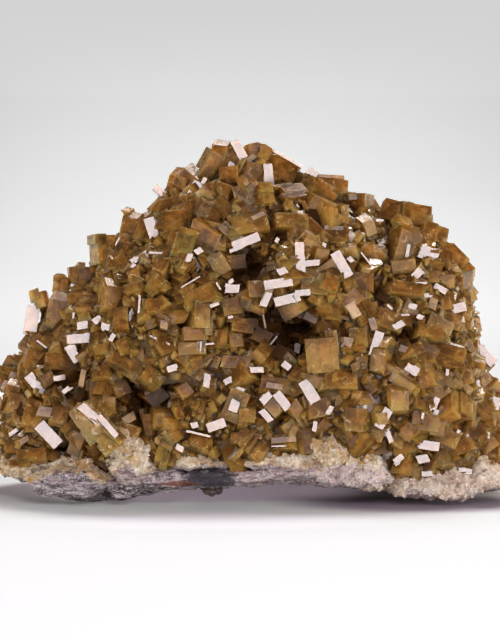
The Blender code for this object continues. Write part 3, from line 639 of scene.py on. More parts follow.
def listBetween(values, faces):
    draw = random.Random(values["seed"])
    places = np.zeros((1, 3))
    crystals = []
    for _ in range(values["tries"]):
        x = halfLength * draw.uniform(-0.99, 0.99)
        angle = draw.uniform(0, 180)
        point = moundPoint(x, angle)
        space = values["space"] if angle < 95 else values["spaceBack"]
        if np.square(places - np.array(tuple(point))).sum(axis=1).min() < space * space:
            continue
        outward = moundOutward(x, angle)
        lean = Vector([draw.gauss(0, 1) for _ in range(3)]).normalized() * values["tilt"]
        normal = (outward + lean * draw.random()).normalized()
        spot = point + outward * draw.uniform(*values["lift"])
        if angle < 90:
            spot.y += hollowAt(spot.x, spot.z)
        if isTaken(faces, spot) or mirrors(spot, normal):
            continue
        places = np.vstack([places, tuple(point)])
        one = crystal(placed(spot, normal, draw.uniform(0, 180)), draw.uniform(*values["length"]),
                      draw.uniform(*values["width"]), draw.uniform(*values["depth"]),
                      draw.choice((0.0, 0.0, growth["blunt"])),
                      draw.choice((0.0, 0.0, 0.25, -0.25)), draw.random(),
                      draw.choice((0.0, 0.0, 0.0, 0.6)))
        crystals += withNeighbours(one, draw, draw.choice((0, 0, 1, 2)), (0.1, 1.0))
    print(values["name"], "crystals:", len(crystals))
    return crystals


def shapeCrystal(bm, one):
    # A block whose ends come to an edge where the crystal is blunt; returns its vertex count
    half = one["length"] / 2
    width = one["width"]
    depth = one["depth"]
    slope = one["ends"] * depth / 2
    if slope > 0:
        section = [(-half + slope, 0), (half - slope, 0), (half, -depth / 2),
                   (half - slope, -depth), (-half + slope, -depth), (-half, -depth / 2)]
    else:
        section = [(-half, 0), (half, 0), (half, -depth), (-half, -depth)]
    side = [bm.verts.new((u, -width / 2, w)) for u, w in section]
    pulled = bmesh.ops.extrude_face_region(bm, geom=[bm.faces.new(side)])["geom"]
    far = [item for item in pulled if isinstance(item, bmesh.types.BMVert)]
    bmesh.ops.translate(bm, verts=far, vec=(0, width, 0))
    for vert in side + far:
        vert.co.x += one["slant"] * vert.co.y
        vert.co = (one["matrix"] @ vert.co) * mm
    return len(side) * 2


def newPiece(name, bm):
    mesh = bpy.data.meshes.new(name)
    bm.to_mesh(mesh)
    bm.free()
    piece = bpy.data.objects.new(name, mesh)
    bpy.context.scene.collection.objects.link(piece)
    return piece


def spotsOf(mesh):
    spots = np.zeros(len(mesh.vertices) * 3, np.float32)
    mesh.vertices.foreach_get("co", spots)
    return (spots.reshape(-1, 3) / mm).astype(float)


def storeAttributes(mesh, columns):
    # One value or one vector a vertex; a lone number goes to all
    for name, values in columns.items():
        values = np.asarray(values, np.float32)
        if values.ndim == 0:
            values = np.full(len(mesh.vertices), values)
        kind, key = ("FLOAT", "value") if values.ndim == 1 else ("FLOAT_VECTOR", "vector")
        mesh.attributes.new(name, kind, "POINT").data.foreach_set(key, values.ravel())


def heightAbove(spots):
    # How far points stand out of the mound's smooth form, in millimetres; less than 0 is inside
    # Points in front also count the hollows' depth, so the painted shade of deep places falls
    # there
    x, y, z = spots.T
    tips = np.interp(x, *np.array(mound["skyline"], float).T)
    tall = np.maximum(mound["leastHeight"], tips - mound["standOut"] - mound["floor"])
    deep = fullDepth * np.sqrt(1 - np.minimum(0.99, np.abs(x) / halfLength) ** 3)
    across = y - mound["centreY"]
    up = z - mound["floor"]
    share = np.sqrt((across / deep) ** 2 + (np.maximum(up, 0) / tall) ** 2)
    above = np.hypot(across, up) * (1 - 1 / np.maximum(share, 0.1))
    return above - np.where(across < 0, np.max(dents(hollows, x, z, np.exp), axis=0), 0.0)


def swelling(spots):
    # How far the front's lumps and dents move the mound's surface, in millimetres
    x, y, z = spots.T
    return np.where(y < mound["centreY"], sum(dents(mound["relief"], x, z, np.exp)), 0.0)


# A grid of one-millimetre cells that holds how full the space around a point is
# The crystals' colour is darkened where the grid is full: painted shade between crystals
crowding = {"low": (-112, -66, 0), "cells": (224, 132, 140), "skin": 1.5, "blur": 2, "passes": 3}


def fillGrid(crystals):
    low = np.array(crowding["low"])
    cells = np.array(crowding["cells"])
    centres = np.indices(cells).reshape(3, -1).T + low + 0.5
    full = heightAbove(centres) < swelling(centres) - crowding["skin"]
    full = full.reshape(cells).astype(np.float32)
    for one in crystals:
        steps = [np.linspace(-0.45, 0.45, int(size) + 2) * size
                 for size in (one["length"], one["width"], one["depth"])]
        inside = np.stack(np.meshgrid(*steps), axis=-1).reshape(-1, 3)
        inside[:, 2] -= one["depth"] / 2
        matrix = np.array(one["matrix"])
        at = (inside @ matrix[:3, :3].T + matrix[:3, 3] - low).astype(int)
        full[tuple(np.clip(at, 0, cells - 1).T)] = 1.0
    reach = crowding["blur"]
    for _ in range(crowding["passes"]):
        for axis in range(3):
            edge = [(reach + 1, reach) if a == axis else (0, 0) for a in range(3)]
            total = np.cumsum(np.pad(full, edge, mode="edge"), axis=axis, dtype=np.float64)
            after = np.take(total, range(2 * reach + 1, total.shape[axis]), axis=axis)
            before = np.take(total, range(0, total.shape[axis] - 2 * reach - 1), axis=axis)
            full = ((after - before) / (2 * reach + 1)).astype(np.float32)
    return full


def crowdAt(spots):
    at = (spots - np.array(crowding["low"])).astype(int)
    return crowding["full"][tuple(np.clip(at, 0, np.array(crowding["cells"]) - 1).T)]


def growPiece(name, crystals, bevel):
    whole = bmesh.new()
    counts = []
    for start in range(0, len(crystals), growth["batch"]):
        part = bmesh.new()
        for one in crystals[start:start + growth["batch"]]:
            counts.append(shapeCrystal(part, one))
        mesh = bpy.data.meshes.new("batch")
        part.to_mesh(mesh)
        part.free()
        whole.from_mesh(mesh)
        bpy.data.meshes.remove(mesh)
    bmesh.ops.recalc_face_normals(whole, faces=whole.faces)
    number = whole.verts.layers.int.new("crystal")
    whole.verts.ensure_lookup_table()
    at = 0
    for index, count in enumerate(counts):
        for vert in whole.verts[at:at + count]:
            vert[number] = index
        at += count
    if bevel > 0:
        bmesh.ops.bevel(whole, geom=whole.edges[:], offset=bevel * mm, offset_type="OFFSET",
                        segments=1, profile=0.5, affect="EDGES", clamp_overlap=True, material=-1)
    piece = newPiece(name, whole)
    mesh = piece.data
    ids = np.zeros(len(mesh.vertices), np.int32)
    mesh.attributes["crystal"].data.foreach_get("value", ids)
    spots = spotsOf(mesh)
    matrices = np.array([one["matrix"] for one in crystals])
    sizes = np.array([(one["length"], one["width"], one["depth"]) for one in crystals]) / 2
    slant, tone, polish = np.array([(one["slant"], one["tone"], one["polish"])
                                    for one in crystals])[ids].T
    back = np.array([one["matrix"].inverted() for one in crystals])[ids]
    place = np.einsum("nij,nj->ni", back, np.column_stack([spots, np.ones(len(spots))]))[:, :3]
    place[:, 2] += sizes[ids, 2]
    place[:, 0] -= slant * place[:, 1]
    tall = (np.abs(matrices[:, 2, :3]) * sizes).sum(axis=1)
    middles = matrices[:, 2, 3] - matrices[:, 2, 2] * sizes[:, 2]
    # Height, crowd and fall drive the painted shade and painted glow in the crystals' colour
    storeAttributes(mesh, {
        "place": place, "reach": sizes[ids], "tone": tone, "polish": polish,
        "height": heightAbove(spots), "crowd": crowdAt(spots),
        "fall": (middles[ids] - spots[:, 2]) / tall[ids],
    })
    print(name, "faces:", len(mesh.polygons))
    return piece


class Nodes:
    # Adds nodes to a material or the world, and feeds its shader
    def __init__(self, owner, shader="Principled BSDF"):
        owner.use_nodes = True
        self.owner = owner
        self.tree = owner.node_tree
        self.shader = self.tree.nodes[shader]

    def feed(self, socket, value):
        if isinstance(value, bpy.types.NodeSocket):
            self.tree.links.new(value, socket)
        elif socket.type == "RGBA":
            socket.default_value = (*value, 1)
        else:
            socket.default_value = value

    def shade(self, values):
        for name, value in values.items():
            self.feed(self.shader.inputs[name], value)

    def add(self, kind, inputs=(), **settings):
        node = self.tree.nodes.new(kind)
        for key, value in settings.items():
            setattr(node, key, value)
        for name, value in inputs:
            self.feed(node.inputs[name], value)
        return node

    def math(self, operation, *values):
        return self.add("ShaderNodeMath", enumerate(values), operation=operation).outputs[0]

    def vector(self, operation, *values):
        return self.add("ShaderNodeVectorMath", enumerate(values), operation=operation).outputs[0]

    def split(self, value):
        return self.add("ShaderNodeSeparateXYZ", [(0, value)]).outputs

    def range(self, value, low, high, outLow=0.0, outHigh=1.0, smooth=True):
        inputs = [("Value", value), ("From Min", low), ("From Max", high), ("To Min", outLow),
                  ("To Max", outHigh)]
        kind = "SMOOTHSTEP" if smooth else "LINEAR"
        return self.add("ShaderNodeMapRange", inputs, interpolation_type=kind).outputs[0]

    def mix(self, share, first, second):
        node = self.add("ShaderNodeMix", data_type="RGBA")
        for name, value in (("Factor", share), ("A", first), ("B", second)):
            self.feed(node.inputs[name], value)
        return node.outputs["Result"]

    def blend(self, share, first, second):
        # The same for two numbers
        return self.math("MULTIPLY_ADD", share, self.math("SUBTRACT", second, first), first)

    def noise(self, where, stretch, scale, detail, rough, distortion=0.0):
        where = self.vector("MULTIPLY", where, stretch)
        inputs = [("Vector", where), ("Scale", scale), ("Detail", detail), ("Roughness", rough),
                  ("Distortion", distortion)]
        return self.add("ShaderNodeTexNoise", inputs).outputs["Fac"]

    def attribute(self, name, output="Fac"):
        return self.add("ShaderNodeAttribute", attribute_name=name).outputs[output]

    def coordinates(self, kind="Object"):
        return self.add("ShaderNodeTexCoord").outputs[kind]

    def bump(self, height, strength, distance):
        inputs = [("Height", height), ("Strength", strength), ("Distance", distance)]
        return self.add("ShaderNodeBump", inputs).outputs[0]

    def farness(self, spot, centre, size):
        # 0 at the centre of an ellipsoid of the given half sizes, 1 on its surface
        away = self.vector("DIVIDE", self.vector("SUBTRACT", spot, centre), size)
        return self.add("ShaderNodeVectorMath", [(0, away)], operation="LENGTH").outputs["Value"]

    def hump(self, value, width):
        # 1 where the value is 0, falling in a round curve to 0 at the width
        part = self.math("DIVIDE", value, width)
        part = self.math("MULTIPLY_ADD", self.math("MULTIPLY", part, part), -1.0, 1.0)
        return self.math("MAXIMUM", part, 0.0)

    def levels(self, value, points):
        # Grey levels along a value, joined smoothly
        ramp = self.add("ShaderNodeValToRGB", [("Fac", value)])
        ramp.color_ramp.interpolation = "B_SPLINE"
        while len(ramp.color_ramp.elements) < len(points):
            ramp.color_ramp.elements.new(0.5)
        for element, (at, level) in zip(ramp.color_ramp.elements, points):
            element.position = at
            element.color = (level, level, level, 1)
        return ramp.outputs["Color"]

    def measure(self, look, where):
        return {name: self.noise(where, *values) for name, values in look["noises"].items()}

    def layered(self, look, measures, where, ragged=None):
        # Lays the look's layers over its base. A layer is a measure's name, where it begins and
        # is full, its share there and its colour; a patch has its centre and half size instead.
        colour = look[look["base"]]
        for name, low, high, most, top in look["layers"]:
            if name == "patch":
                value = self.math("MULTIPLY_ADD", self.math("SUBTRACT", ragged, 0.5), patchRagged,
                                  self.farness(where, low, high))
                low, high = patchEdge
            else:
                value = measures[name]
            share = self.range(value, low, high, 0.0, most, name not in look["even"])
            colour = self.mix(share, colour, look[top])
        return colour


def linear(red, green, blue):
    # An sRGB colour from 0 to 255, as the shader wants it
    return tuple(((c / 255 + 0.055) / 1.055) ** 2.4 for c in (red, green, blue))


patchRagged = 1.6
patchEdge = (1.15, 0.85)

# Each look: its colours, its noises (stretch, scale, detail, roughness and distortion) and its
# layers; "even" names the measures whose layers follow them without easing
bariteLook = {
    "base": "umber",
    "amber": linear(224, 151, 64),
    "umber": linear(140, 92, 38),
    "gold": linear(255, 198, 102),
    "frost": linear(222, 190, 150),
    # Painted shade colours for crowded and deep places
    "paintedGapShade": linear(110, 71, 29),
    "dark": linear(94, 58, 24),
    "noises": {
        "clouds": ((1, 1, 1), 170.0, 3.0, 0.55, 0.5),
        "veins": ((1, 1, 1), 330.0, 4.0, 0.6, 0.8),
        "specks": ((1, 1, 1), 1300.0, 2.0, 0.6),
    },
    "lines": ((0.16, 1.5, 1.5), 1.0, 4.0, 0.7),
    "layers": [
        ("clouds", 0.38, 0.62, 1.0, "amber"),
        ("tone", 0.4, 1.0, 0.55, "gold"), ("tone", 0.45, 0.0, 0.7, "umber"),
        ("lines", 0.5, 0.66, 0.4, "gold"), ("lines", 0.47, 0.33, 0.45, "umber"),
        # Painted light: the next two layers make side faces golden and broad faces darker, as if
        # lit through the crystal
        ("paintedSideGlow", 0.1, 0.7, 0.75, "gold"), ("paintedSideGlow", 0.7, 0.1, 0.12, "umber"),
        # Painted glow and shade: lower parts of each crystal golden, upper parts darker
        ("glow", 0.0, 1.0, 0.85, "gold"), ("uneven", 0.0, -1.0, 0.7, "umber"),
        ("rim", 0.8, 0.1, 0.12, "gold"),
        ("veins", 0.52, 0.62, 0.45, "gold"), ("veins", 0.47, 0.37, 0.5, "umber"),
        ("frosted", 0.0, 1.0, 0.4, "frost"), ("dust", 0.0, 1.0, 0.7, "frost"),
        # Painted shade: the crowd and height layers darken crowded and deep places
        ("polish", 0.0, 1.0, 0.6, "umber"), ("crowd", 0.5, 0.95, 0.85, "paintedGapShade"),
        ("height", 1.5, -7.0, 0.92, "paintedGapShade"), ("height", -5.0, -10.0, 1.0, "dark"),
    ],
    "even": ("glow", "frosted", "dust"),
    "roughness": {"plain": (0.05, 0.13), "frost": 0.25, "polished": 0.3, "dim": 0.22,
                  "deep": 0.25},
    "specular": (0.5, -0.48),
    "index": 1.64,
    "sheen": (1.0, 0.96, 0.88),
    "scatter": (1.0, 0.93, 0.78),
    "scatterDepth": 0.004,
    "clear": 0.55,
    "bump": (0.5, 0.03),
    "bumpDepth": 0.0004,
}


def bariteMaterial(look):
    n = Nodes(bpy.data.materials.new("goldenBarite"))
    place = n.attribute("place", "Vector")
    reach = n.attribute("reach", "Vector")
    edge = n.split(n.vector("SUBTRACT", reach, n.vector("ABSOLUTE", place)))
    low = n.math("MINIMUM", edge[0], edge[1])
    high = n.math("MAXIMUM", edge[0], edge[1])
    rim = n.math("MAXIMUM", low, n.math("MINIMUM", high, edge[2]))
    where = n.coordinates()
    m = {name: n.attribute(name) for name in ("tone", "polish", "height", "crowd")}
    # Painted light: depth from the broad faces, which turns side faces golden
    m |= {**n.measure(look, where), "paintedSideGlow": edge[2], "rim": rim,
          "lines": n.noise(place, *look["lines"])}
    # Painted glow and shade: the fall within each crystal, wobbled by the clouds, makes lower
    # parts golden and upper parts darker
    m["uneven"] = n.math("MULTIPLY_ADD", n.math("SUBTRACT", m["clouds"], 0.5), 3.0,
                         n.attribute("fall"))
    m["glow"] = n.math("MULTIPLY", n.range(m["uneven"], -0.3, 1.0),
                       n.range(m["tone"], 0.1, 0.9, 0.35, 1.0))
    m["frosted"] = n.math("MULTIPLY", n.range(m["veins"], 0.56, 0.68),
                          n.range(m["tone"], 0.2, 0.6))
    m["dust"] = n.math("MULTIPLY", n.range(m["specks"], 0.66, 0.72),
                       n.range(m["veins"], 0.45, 0.6))
    part = look["roughness"]
    rough = n.math("MULTIPLY_ADD", m["frosted"], part["frost"],
                   n.range(m["tone"], 0.0, 1.0, *part["plain"]))
    rough = n.math("MULTIPLY", rough, n.range(m["polish"], 0.0, 1.0, 1.0, part["polished"]))
    rough = n.math("ADD", rough, n.range(m["polish"], 0.0, -1.0, 0.0, part["dim"]))
    deep = n.math("MAXIMUM", n.range(m["height"], 2.0, -4.0), n.range(m["crowd"], 0.5, 0.85))
    plain, deeper = look["specular"]
    steps = n.math("MULTIPLY", n.math("ADD", m["lines"], m["veins"]), 0.6)
    strength = n.range(m["polish"], 0.0, 1.0, *look["bump"])
    n.shade({
        "Base Color": n.layered(look, m, where),
        "Roughness": n.math("MAXIMUM", rough, n.math("MULTIPLY", deep, part["deep"])),
        "Specular IOR Level": n.math("MULTIPLY_ADD", deep, deeper, plain),
        "Specular Tint": look["sheen"],
        "IOR": look["index"],
        "Subsurface Weight": 1.0,
        "Subsurface Radius": look["scatter"],
        "Subsurface Scale": look["scatterDepth"],
        "Transmission Weight": look["clear"],
        "Normal": n.bump(steps, strength, look["bumpDepth"]),
    })
    return n.owner


crustLook = {
    "base": "straw",
    "cream": linear(230, 212, 184),
    "straw": linear(200, 160, 98),
    "white": linear(250, 242, 232),
    "honey": linear(184, 138, 66),
    "lilac": linear(226, 206, 202),
    "paintedPitShade": linear(118, 88, 62),
    "pale": linear(238, 220, 208),
    "noises": {
        "clouds": ((1, 1, 1), 95.0, 4.0, 0.6),
        "grains": ((1, 1, 1), 800.0, 2.0, 0.7),
        "pits": ((1, 1, 1), 300.0, 5.0, 0.75),
    },
    "layers": [
        ("clouds", 0.38, 0.62, 1.0, "cream"), ("grains", 0.5, 0.66, 0.8, "white"),
        ("upper", 0.0, 1.0, 1.0, "honey"),
        ("patch", (0.036, -0.05, 0.0115), (0.016, 0.02, 0.005), 0.85, "lilac"),
        ("patch", (0.076, -0.045, 0.006), (0.026, 0.035, 0.008), 0.6, "pale"),
        # Painted shade: dark spots for shaded pits in the crust, pale flecks at the other end of
        # the same noise
        ("pits", 0.47, 0.36, 0.7, "paintedPitShade"), ("pits", 0.55, 0.64, 0.6, "white"),
    ],
    "even": ("upper",),
}
rockLook = {
    "base": "dark",
    "grey": linear(190, 176, 180),
    "dark": linear(80, 68, 70),
    "purple": linear(128, 106, 112),
    "pink": linear(186, 160, 156),
    "mauve": linear(172, 138, 134),
    "speck": linear(226, 218, 214),
    "slate": linear(64, 60, 68),
    "rust": linear(150, 92, 68),
    "brown": linear(84, 66, 60),
    "noises": {
        "beds": ((1, 1, 4.0), 120.0, 5.0, 0.65, 0.6),
        "thin": ((1, 1, 3.5), 300.0, 5.0, 0.75, 0.8),
        "specks": ((1, 1, 1), 950.0, 3.0, 0.7),
        "blots": ((1, 1, 1), 150.0, 4.0, 0.65),
    },
    "layers": [
        ("beds", 0.44, 0.56, 1.0, "grey"), ("blots", 0.5, 0.66, 0.75, "purple"),
        ("patch", (0.012, -0.046, 0.012), (0.024, 0.02, 0.006), 0.5, "pink"),
        ("patch", (-0.043, -0.046, 0.012), (0.008, 0.02, 0.004), 0.6, "pink"),
        ("patch", (0.0455, -0.046, 0.0075), (0.0055, 0.02, 0.003), 0.7, "mauve"),
        ("thin", 0.53, 0.62, 0.75, "speck"), ("thin", 0.48, 0.4, 0.85, "dark"),
        ("specks", 0.54, 0.64, 0.75, "speck"),
        ("patch", (-0.0145, -0.045, 0.0105), (0.0105, 0.02, 0.0036), 0.95, "slate"),
        ("patch", (-0.0255, -0.045, 0.0088), (0.0075, 0.02, 0.0013), 0.8, "rust"),
        ("patch", (-0.0145, -0.041, 0.0045), (0.006, 0.02, 0.0024), 0.85, "brown"),
    ],
    "even": (),
}
groundLook = {
    "ragged": ((1, 1, 1), 260.0, 4.0, 0.7),
    "wander": 9.0,
    "meeting": (-0.6, 0.8),
    "soft": 0.4,
    "scatter": (1.0, 0.75, 0.4),
    "scatterDepth": 0.0012,
    "bump": 0.7,
    "bumpDepth": 0.0008,
}


def groundMaterial(name, look):
    # Sugary crust above the line where it meets the layered rock
    n = Nodes(bpy.data.materials.new(name))
    where = n.coordinates()
    ragged = n.noise(where, *look["ragged"])
    above = n.math("MULTIPLY_ADD", n.math("SUBTRACT", ragged, 0.5), look["wander"],
                   n.attribute("above"))
    share = n.range(above, *look["meeting"])
    crustParts = n.measure(crustLook, where)
    crustParts["upper"] = n.math("MULTIPLY", n.range(n.split(where)[2], 0.018, 0.032),
                                 n.range(ragged, 0.38, 0.6, 0.4, 1.0))
    rockParts = n.measure(rockLook, where)
    height = n.blend(share, n.math("MULTIPLY_ADD", rockParts["specks"], 0.5, rockParts["thin"]),
                     n.math("ADD", crustParts["grains"], ragged))
    n.shade({
        "Base Color": n.mix(share, n.layered(rockLook, rockParts, where, ragged),
                            n.layered(crustLook, crustParts, where, ragged)),
        "Roughness": n.blend(share, n.range(rockParts["specks"], 0.4, 0.7, 0.85, 0.5),
                             n.range(crustParts["grains"], 0.3, 0.7, 0.3, 0.6)),
        "Subsurface Weight": n.math("MULTIPLY", share, look["soft"]),
        "Subsurface Radius": look["scatter"],
        "Subsurface Scale": look["scatterDepth"],
        "Normal": n.bump(height, look["bump"], look["bumpDepth"]),
    })
    return n.owner


barite = bariteMaterial(bariteLook)
crust = groundMaterial("sugaryCrust", groundLook)
rock = groundMaterial("layeredRock", groundLook)
print("materials made")


def finishPiece(piece, material, node):
    piece.data.materials.clear()
    piece.data.materials.append(material)
    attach(piece, "root")
    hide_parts(node)


# The mass of intergrown crystals, seen between the larger ones, coloured all over in the darkest
# painted shade
massSet = {"fineness": 6, "narrower": 0.9, "sunk": 5.0}


def moundMass(values):
    bm = bmesh.new()
    bmesh.ops.create_icosphere(bm, subdivisions=values["fineness"], radius=1.0)
    for vert in bm.verts:
        a, b, c = vert.co
        x = halfLength * a
        around = math.hypot(b, c)
        if c < 0:
            share = b / around if around > 1e-6 else 0.0
            y = mound["centreY"] + halfDepth(x) * values["narrower"] * share
            z = mound["floor"] - values["sunk"] * min(1.0, -c * 3)
            vert.co = Vector((x, y, z)) * mm
        else:
            angle = math.degrees(math.atan2(c, -b)) if around > 1e-6 else 90.0
            spot = moundPoint(x, angle)
            if angle < 90:
                spot.y += hollowAt(spot.x, spot.z)
            vert.co = spot * mm
    piece = newPiece("crystal_mass", bm)
    size = len(piece.data.vertices)
    storeAttributes(piece.data, {
        "place": np.zeros((size, 3)), "reach": np.full((size, 3), 2.0), "tone": 0.2,
        "polish": 0.0, "height": -8.0, "crowd": 1.0, "fall": 0.0,
    })
    return piece


finishPiece(moundMass(massSet), barite, "barite_crystals")
shown, places = listShown()
faces = facesOf(shown)
groups = [("shown", shown, growth["bevel"]),
          ("large", listFilling(places, faces, fillSet), growth["bevel"])]
groups += [(values["name"], listBetween(values, faces), values["bevel"]) for values in betweenSet]
crowding["full"] = fillGrid([one for _, crystals, _ in groups for one in crystals])
for name, crystals, bevel in groups:
    finishPiece(growPiece(name + "_crystals", crystals, bevel), barite, "barite_crystals")
print("crystals grown")

# Crust and rock: the solids' own forms, weathered. A swell is its middle and half sizes.
crustSet = {
    "voxel": 0.8, "lumps": 2.2, "grains": 0.9, "grainSize": 1.9, "meeting": 2.0,
    "behind": 9.0, "rib": (-66, -37),
    "swells": [(28.5, -49, 19.5, 6.5, 6, 6.5), (86, -32, 8.5, 12, 16, 4.5),
               (68, -40, 6.8, 20, 12, 4.6), (15, -48, 16.5, 9, 5, 4)],
}
rockSet = {
    "voxel": 0.75, "ledges": 2.2, "lumps": 1.7, "fine": 0.5, "swell": 2.5, "swellFrom": 6.5,
    "swells": [(-66, -42, 8.2, 15, 10, 6), (-46, -43, 9, 7.5, 9, 6.5), (-33, -42, 10, 12, 9, 5.2),
               (-8, -42, 11, 26, 9, 4.2), (12, -42, 12, 18, 9, 3.5)],
}
caveSet = {"x": -51.0, "z": 11.5, "slope": (0.77, 0.64), "length": 5.5, "width": 1.9,
           "depth": 12.0}
sugarSet = {"seed": 61, "count": 6500, "length": (0.8, 2.2), "topSide": 38.0}


def weathered(node, name, values, shove):
    # The solid's form with a few swells grown into it, its surface broken up
    bm = bmesh.new()
    bm.from_mesh(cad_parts[node].data)
    bmesh.ops.remove_doubles(bm, verts=bm.verts, dist=0.00001)
    for x, y, z, *radii in values["swells"]:
        swell = Matrix.Translation(Vector((x, y, z)) * mm) @ Matrix.Diagonal((*radii, 1.0))
        bmesh.ops.create_icosphere(bm, subdivisions=3, radius=mm, matrix=swell)
    piece = newPiece(name, bm)
    remesh = piece.modifiers.new("remesh", "REMESH")
    remesh.mode = "VOXEL"
    remesh.voxel_size = values["voxel"] * mm
    graph = bpy.context.evaluated_depsgraph_get()
    rough = piece.data
    piece.data = bpy.data.meshes.new_from_object(piece.evaluated_get(graph))
    piece.modifiers.clear()
    bpy.data.meshes.remove(rough)
    piece.data.name = name
    verts = piece.data.vertices
    moves = [shove(vert.co / mm, vert.normal.copy()) for vert in verts]
    for vert, move in zip(verts, moves):
        vert.co += move * mm
        vert.co.z = max(vert.co.z, 0.0)
    print(name, "faces:", len(piece.data.polygons))
    return piece


def portion(value):
    return min(1.0, max(0.0, value))


def caveDepth(co):
    # The dark slot between the crust and the rock, left of the middle
    if co.y > growth["frontSide"]:
        return 0.0
    right, down = caveSet["slope"]
    x = co.x - caveSet["x"]
    z = co.z - caveSet["z"]
    along = (x * right - z * down) / caveSet["length"]
    across = (x * down + z * right) / caveSet["width"]
    return caveSet["depth"] * math.exp(-along ** 2 - across ** 2)


def rockShove(co, normal):
    level = Vector((normal.x, normal.y, 0.0))
    ledges = noise.fractal(Vector((co.x / 16, co.y / 16, co.z / 1.6)), 1.0, 2.0, 3)
    lumps = noise.fractal(co / 6.0, 0.9, 2.1, 4)
    fine = noise.noise(co * 1.1)
    swell = rockSet["swell"] * portion((co.z - rockSet["swellFrom"]) / 3.0)
    move = level * (ledges * rockSet["ledges"] + swell)
    move += normal * (lumps * rockSet["lumps"] + fine * rockSet["fine"]) * 0.8
    move.y += caveDepth(co)
    return move


def crustShove(co, normal):
    lumps = noise.fractal(co / 6.0, 1.0, 2.1, 3) * crustSet["lumps"]
    cells = noise.voronoi(co / crustSet["grainSize"])[0]
    grains = (0.55 - cells[0]) * crustSet["grains"]
    share = portion((co.z - between(contact, co.x)) / crustSet["meeting"] + 0.5)
    move = normal * (lumps + grains) * share + rockShove(co, normal) * (0.6 * (1 - share))
    left, right = crustSet["rib"]
    if co.y < growth["frontSide"]:
        move.y += caveDepth(co) * share
        if not left < co.x < right:
            # The crust stays behind the crystals above its upper edge
            move.y += crustSet["behind"] * portion((co.z - between(crustTop, co.x) + 1.5) / 4)
    return move


def finishGround(piece, material, node):
    # Stores how far each point lies above the line where crust and rock meet
    x, y, z = spotsOf(piece.data).T
    storeAttributes(piece.data, {"above": z - np.interp(x, *np.array(contact, float).T)})
    finishPiece(piece, material, node)


def listSugar(piece, values):
    # Little pale crystals all over the crust
    draw = random.Random(values["seed"])
    crystals = []
    verts = piece.data.vertices
    while len(crystals) < values["count"]:
        vert = verts[draw.randrange(len(verts))]
        spot = vert.co / mm
        if vert.normal.z < -0.75 or (vert.normal.z > 0.7 and abs(spot.y) < values["topSide"]):
            continue
        if spot.z < between(contact, spot.x) + draw.uniform(-0.5, 2.5):
            continue
        length = draw.uniform(*values["length"]) * draw.uniform(0.6, 1.0)
        lean = Vector([draw.gauss(0, 0.5) for _ in range(3)])
        normal = (vert.normal + lean).normalized()
        spot += normal * length * 0.3
        crystals.append(crystal(placed(spot, normal, draw.uniform(0, 180)), length,
                                length * draw.uniform(0.45, 0.8), length * 0.9,
                                tone=draw.random()))
    return crystals


crustBody = weathered("druse_crust", "crust_body", crustSet, crustShove)
sugar = growPiece("crust_crystals", listSugar(crustBody, sugarSet), 0.0)
finishGround(crustBody, crust, "druse_crust")
finishGround(sugar, crust, "druse_crust")
finishGround(weathered("host_rock", "rock_body", rockSet, rockShove), rock, "host_rock")
print("crust and rock weathered")

# Floor, in metres. Glow and halo are light that evens out the lamps' falloff, along the share of
# the way to the horizon; the halo lies in a wedge that opens away from the camera's side.
floorSet = {
    "radius": 300.0,
    "colour": (0.858, 0.9, 0.872),
    "roughness": 0.7,
    "specular": 0.2,
    "half": 1.2,
    "glow": [(0.0, 0.0), (0.2, 0.0), (0.3, 0.02), (0.42, 0.115), (0.5, 0.105), (0.56, 0.105),
             (0.6, 0.13), (0.64, 0.18), (0.68, 0.26), (0.72, 0.355), (0.76, 0.445),
             (0.79, 0.5), (0.83, 0.53), (0.87, 0.53), (0.93, 0.5), (1.0, 0.484)],
    "glowTint": (1.0, 1.068, 1.02),
    "halo": [(0.0, 0.0), (0.3, 0.0), (0.5, 0.05), (0.6, 0.08), (0.7, 0.1), (0.79, 0.12),
             (0.86, 0.105), (0.93, 0.09), (1.0, 0.073)],
    "haloWidth": 0.078,
    "haloFrom": 1.22,
    "haloNearest": 0.2,
    # Light around the specimen, the ring that it grows in, and the distances that it fades over
    "around": (0.115, 0.107, 0.116),
    "aroundSize": (0.14, 0.12, 1.0),
    "aroundRing": (0.5, 1.25),
    "aroundFade": (0.6, 0.14),
    # Centre, half size, edge and light of the spots lit below the arch and in front of it
    "lit": [
        ((-0.025, 0.006, 0.0), (0.075, 0.05, 1.0), (1.1, 0.6), (0.16, 0.13, 0.155)),
        ((-0.012, -0.088, 0.0), (0.062, 0.024, 1.0), (1.25, 0.35), (0.17, 0.145, 0.185)),
    ],
    # Painted shadow: the table's colour is darker beside the right foot: centre, half size, edge
    # and colour
    "foot": ((0.066, -0.04, 0.0), (0.05, 0.025, 1.0), (1.25, 0.6), (0.36, 0.3, 0.36)),
}


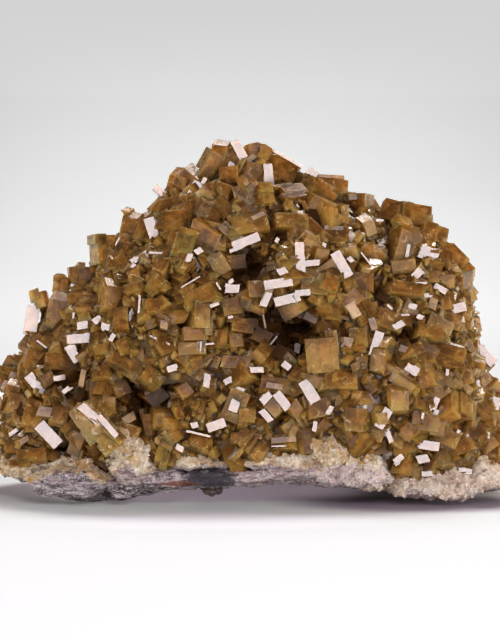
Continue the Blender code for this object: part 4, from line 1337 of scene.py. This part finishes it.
def addFloor(values):
    bm = bmesh.new()
    bmesh.ops.create_circle(bm, cap_ends=True, segments=96, radius=values["radius"])
    floor = newPiece("studio_floor", bm)
    n = Nodes(bpy.data.materials.new("paleTable"))
    where = n.coordinates()
    centre = (0, 0, 0)
    away = n.farness(where, centre, (1, 1, 1))
    share = n.math("DIVIDE", away, n.math("ADD", away, values["half"]))
    side, along, _ = n.split(where)
    ahead = n.math("MAXIMUM", n.math("ADD", along, values["haloFrom"]), values["haloNearest"])
    middle = n.hump(n.math("DIVIDE", side, ahead), values["haloWidth"])
    ring = n.range(n.farness(where, centre, values["aroundSize"]), *values["aroundRing"])
    ring = n.math("MULTIPLY", ring, n.range(away, *values["aroundFade"]))
    lights = [(n.levels(share, values["halo"]), middle), (values["around"], ring)]
    for spot, size, edge, light in values["lit"]:
        lights.append((light, n.range(n.farness(where, spot, size), *edge)))
    glow = n.vector("MULTIPLY", n.levels(share, values["glow"]), values["glowTint"])
    for light, strength in lights:
        glow = n.vector("ADD", glow, n.vector("MULTIPLY", light, strength))
    # Painted shadow beside the right foot, mixed into the table's colour
    foot, size, edge, shade = values["foot"]
    shaded = n.range(n.farness(where, foot, size), *edge)
    n.shade({
        "Base Color": n.mix(shaded, values["colour"], shade),
        "Roughness": values["roughness"],
        "Specular IOR Level": values["specular"],
        "Emission Color": glow,
        "Emission Strength": 1.0,
    })
    floor.data.materials.append(n.owner)


# Surroundings: what the camera sees behind the table is paler than what lights the specimen
worldSet = {
    "seen": ((0.676, 0.676, 0.676), (0.642, 0.642, 0.642)),
    "horizon": 0.03,
    "halo": (0.745, 0.745, 0.745),
    "haloWidth": 0.078,
    "mirrored": (0.02, 0.018, 0.018),
    "mirroredShare": 0.6,
    "front": (0.056, 0.046, 0.054),
    "back": (0.31, 0.25, 0.292),
    "turn": (-0.3, 0.6),
    "up": (0.225, 0.183, 0.212),
    "rise": (0.3, 0.9),
}


def addWorld(values):
    n = Nodes(bpy.data.worlds.new("softStudio"), "Background")
    side, along, rise = n.split(n.coordinates("Generated"))
    seen = n.mix(n.range(rise, 0.0, values["horizon"], smooth=False), *values["seen"])
    low = n.range(rise, values["horizon"], 0.0, smooth=False)
    halo = n.math("MULTIPLY", n.hump(side, values["haloWidth"]), n.math("MULTIPLY", low, low))
    seen = n.mix(halo, seen, values["halo"])
    around = n.mix(n.range(along, *values["turn"], smooth=False), values["front"], values["back"])
    around = n.mix(n.range(rise, *values["rise"], smooth=False), around, values["up"])
    rays = n.add("ShaderNodeLightPath").outputs
    mirrored = n.math("MULTIPLY", rays["Is Glossy Ray"], values["mirroredShare"])
    around = n.mix(mirrored, around, values["mirrored"])
    n.shade({"Color": n.mix(rays["Is Camera Ray"], around, seen)})
    bpy.context.scene.world = n.owner


addFloor(floorSet)
addWorld(worldSet)
print("floor and surroundings ready")
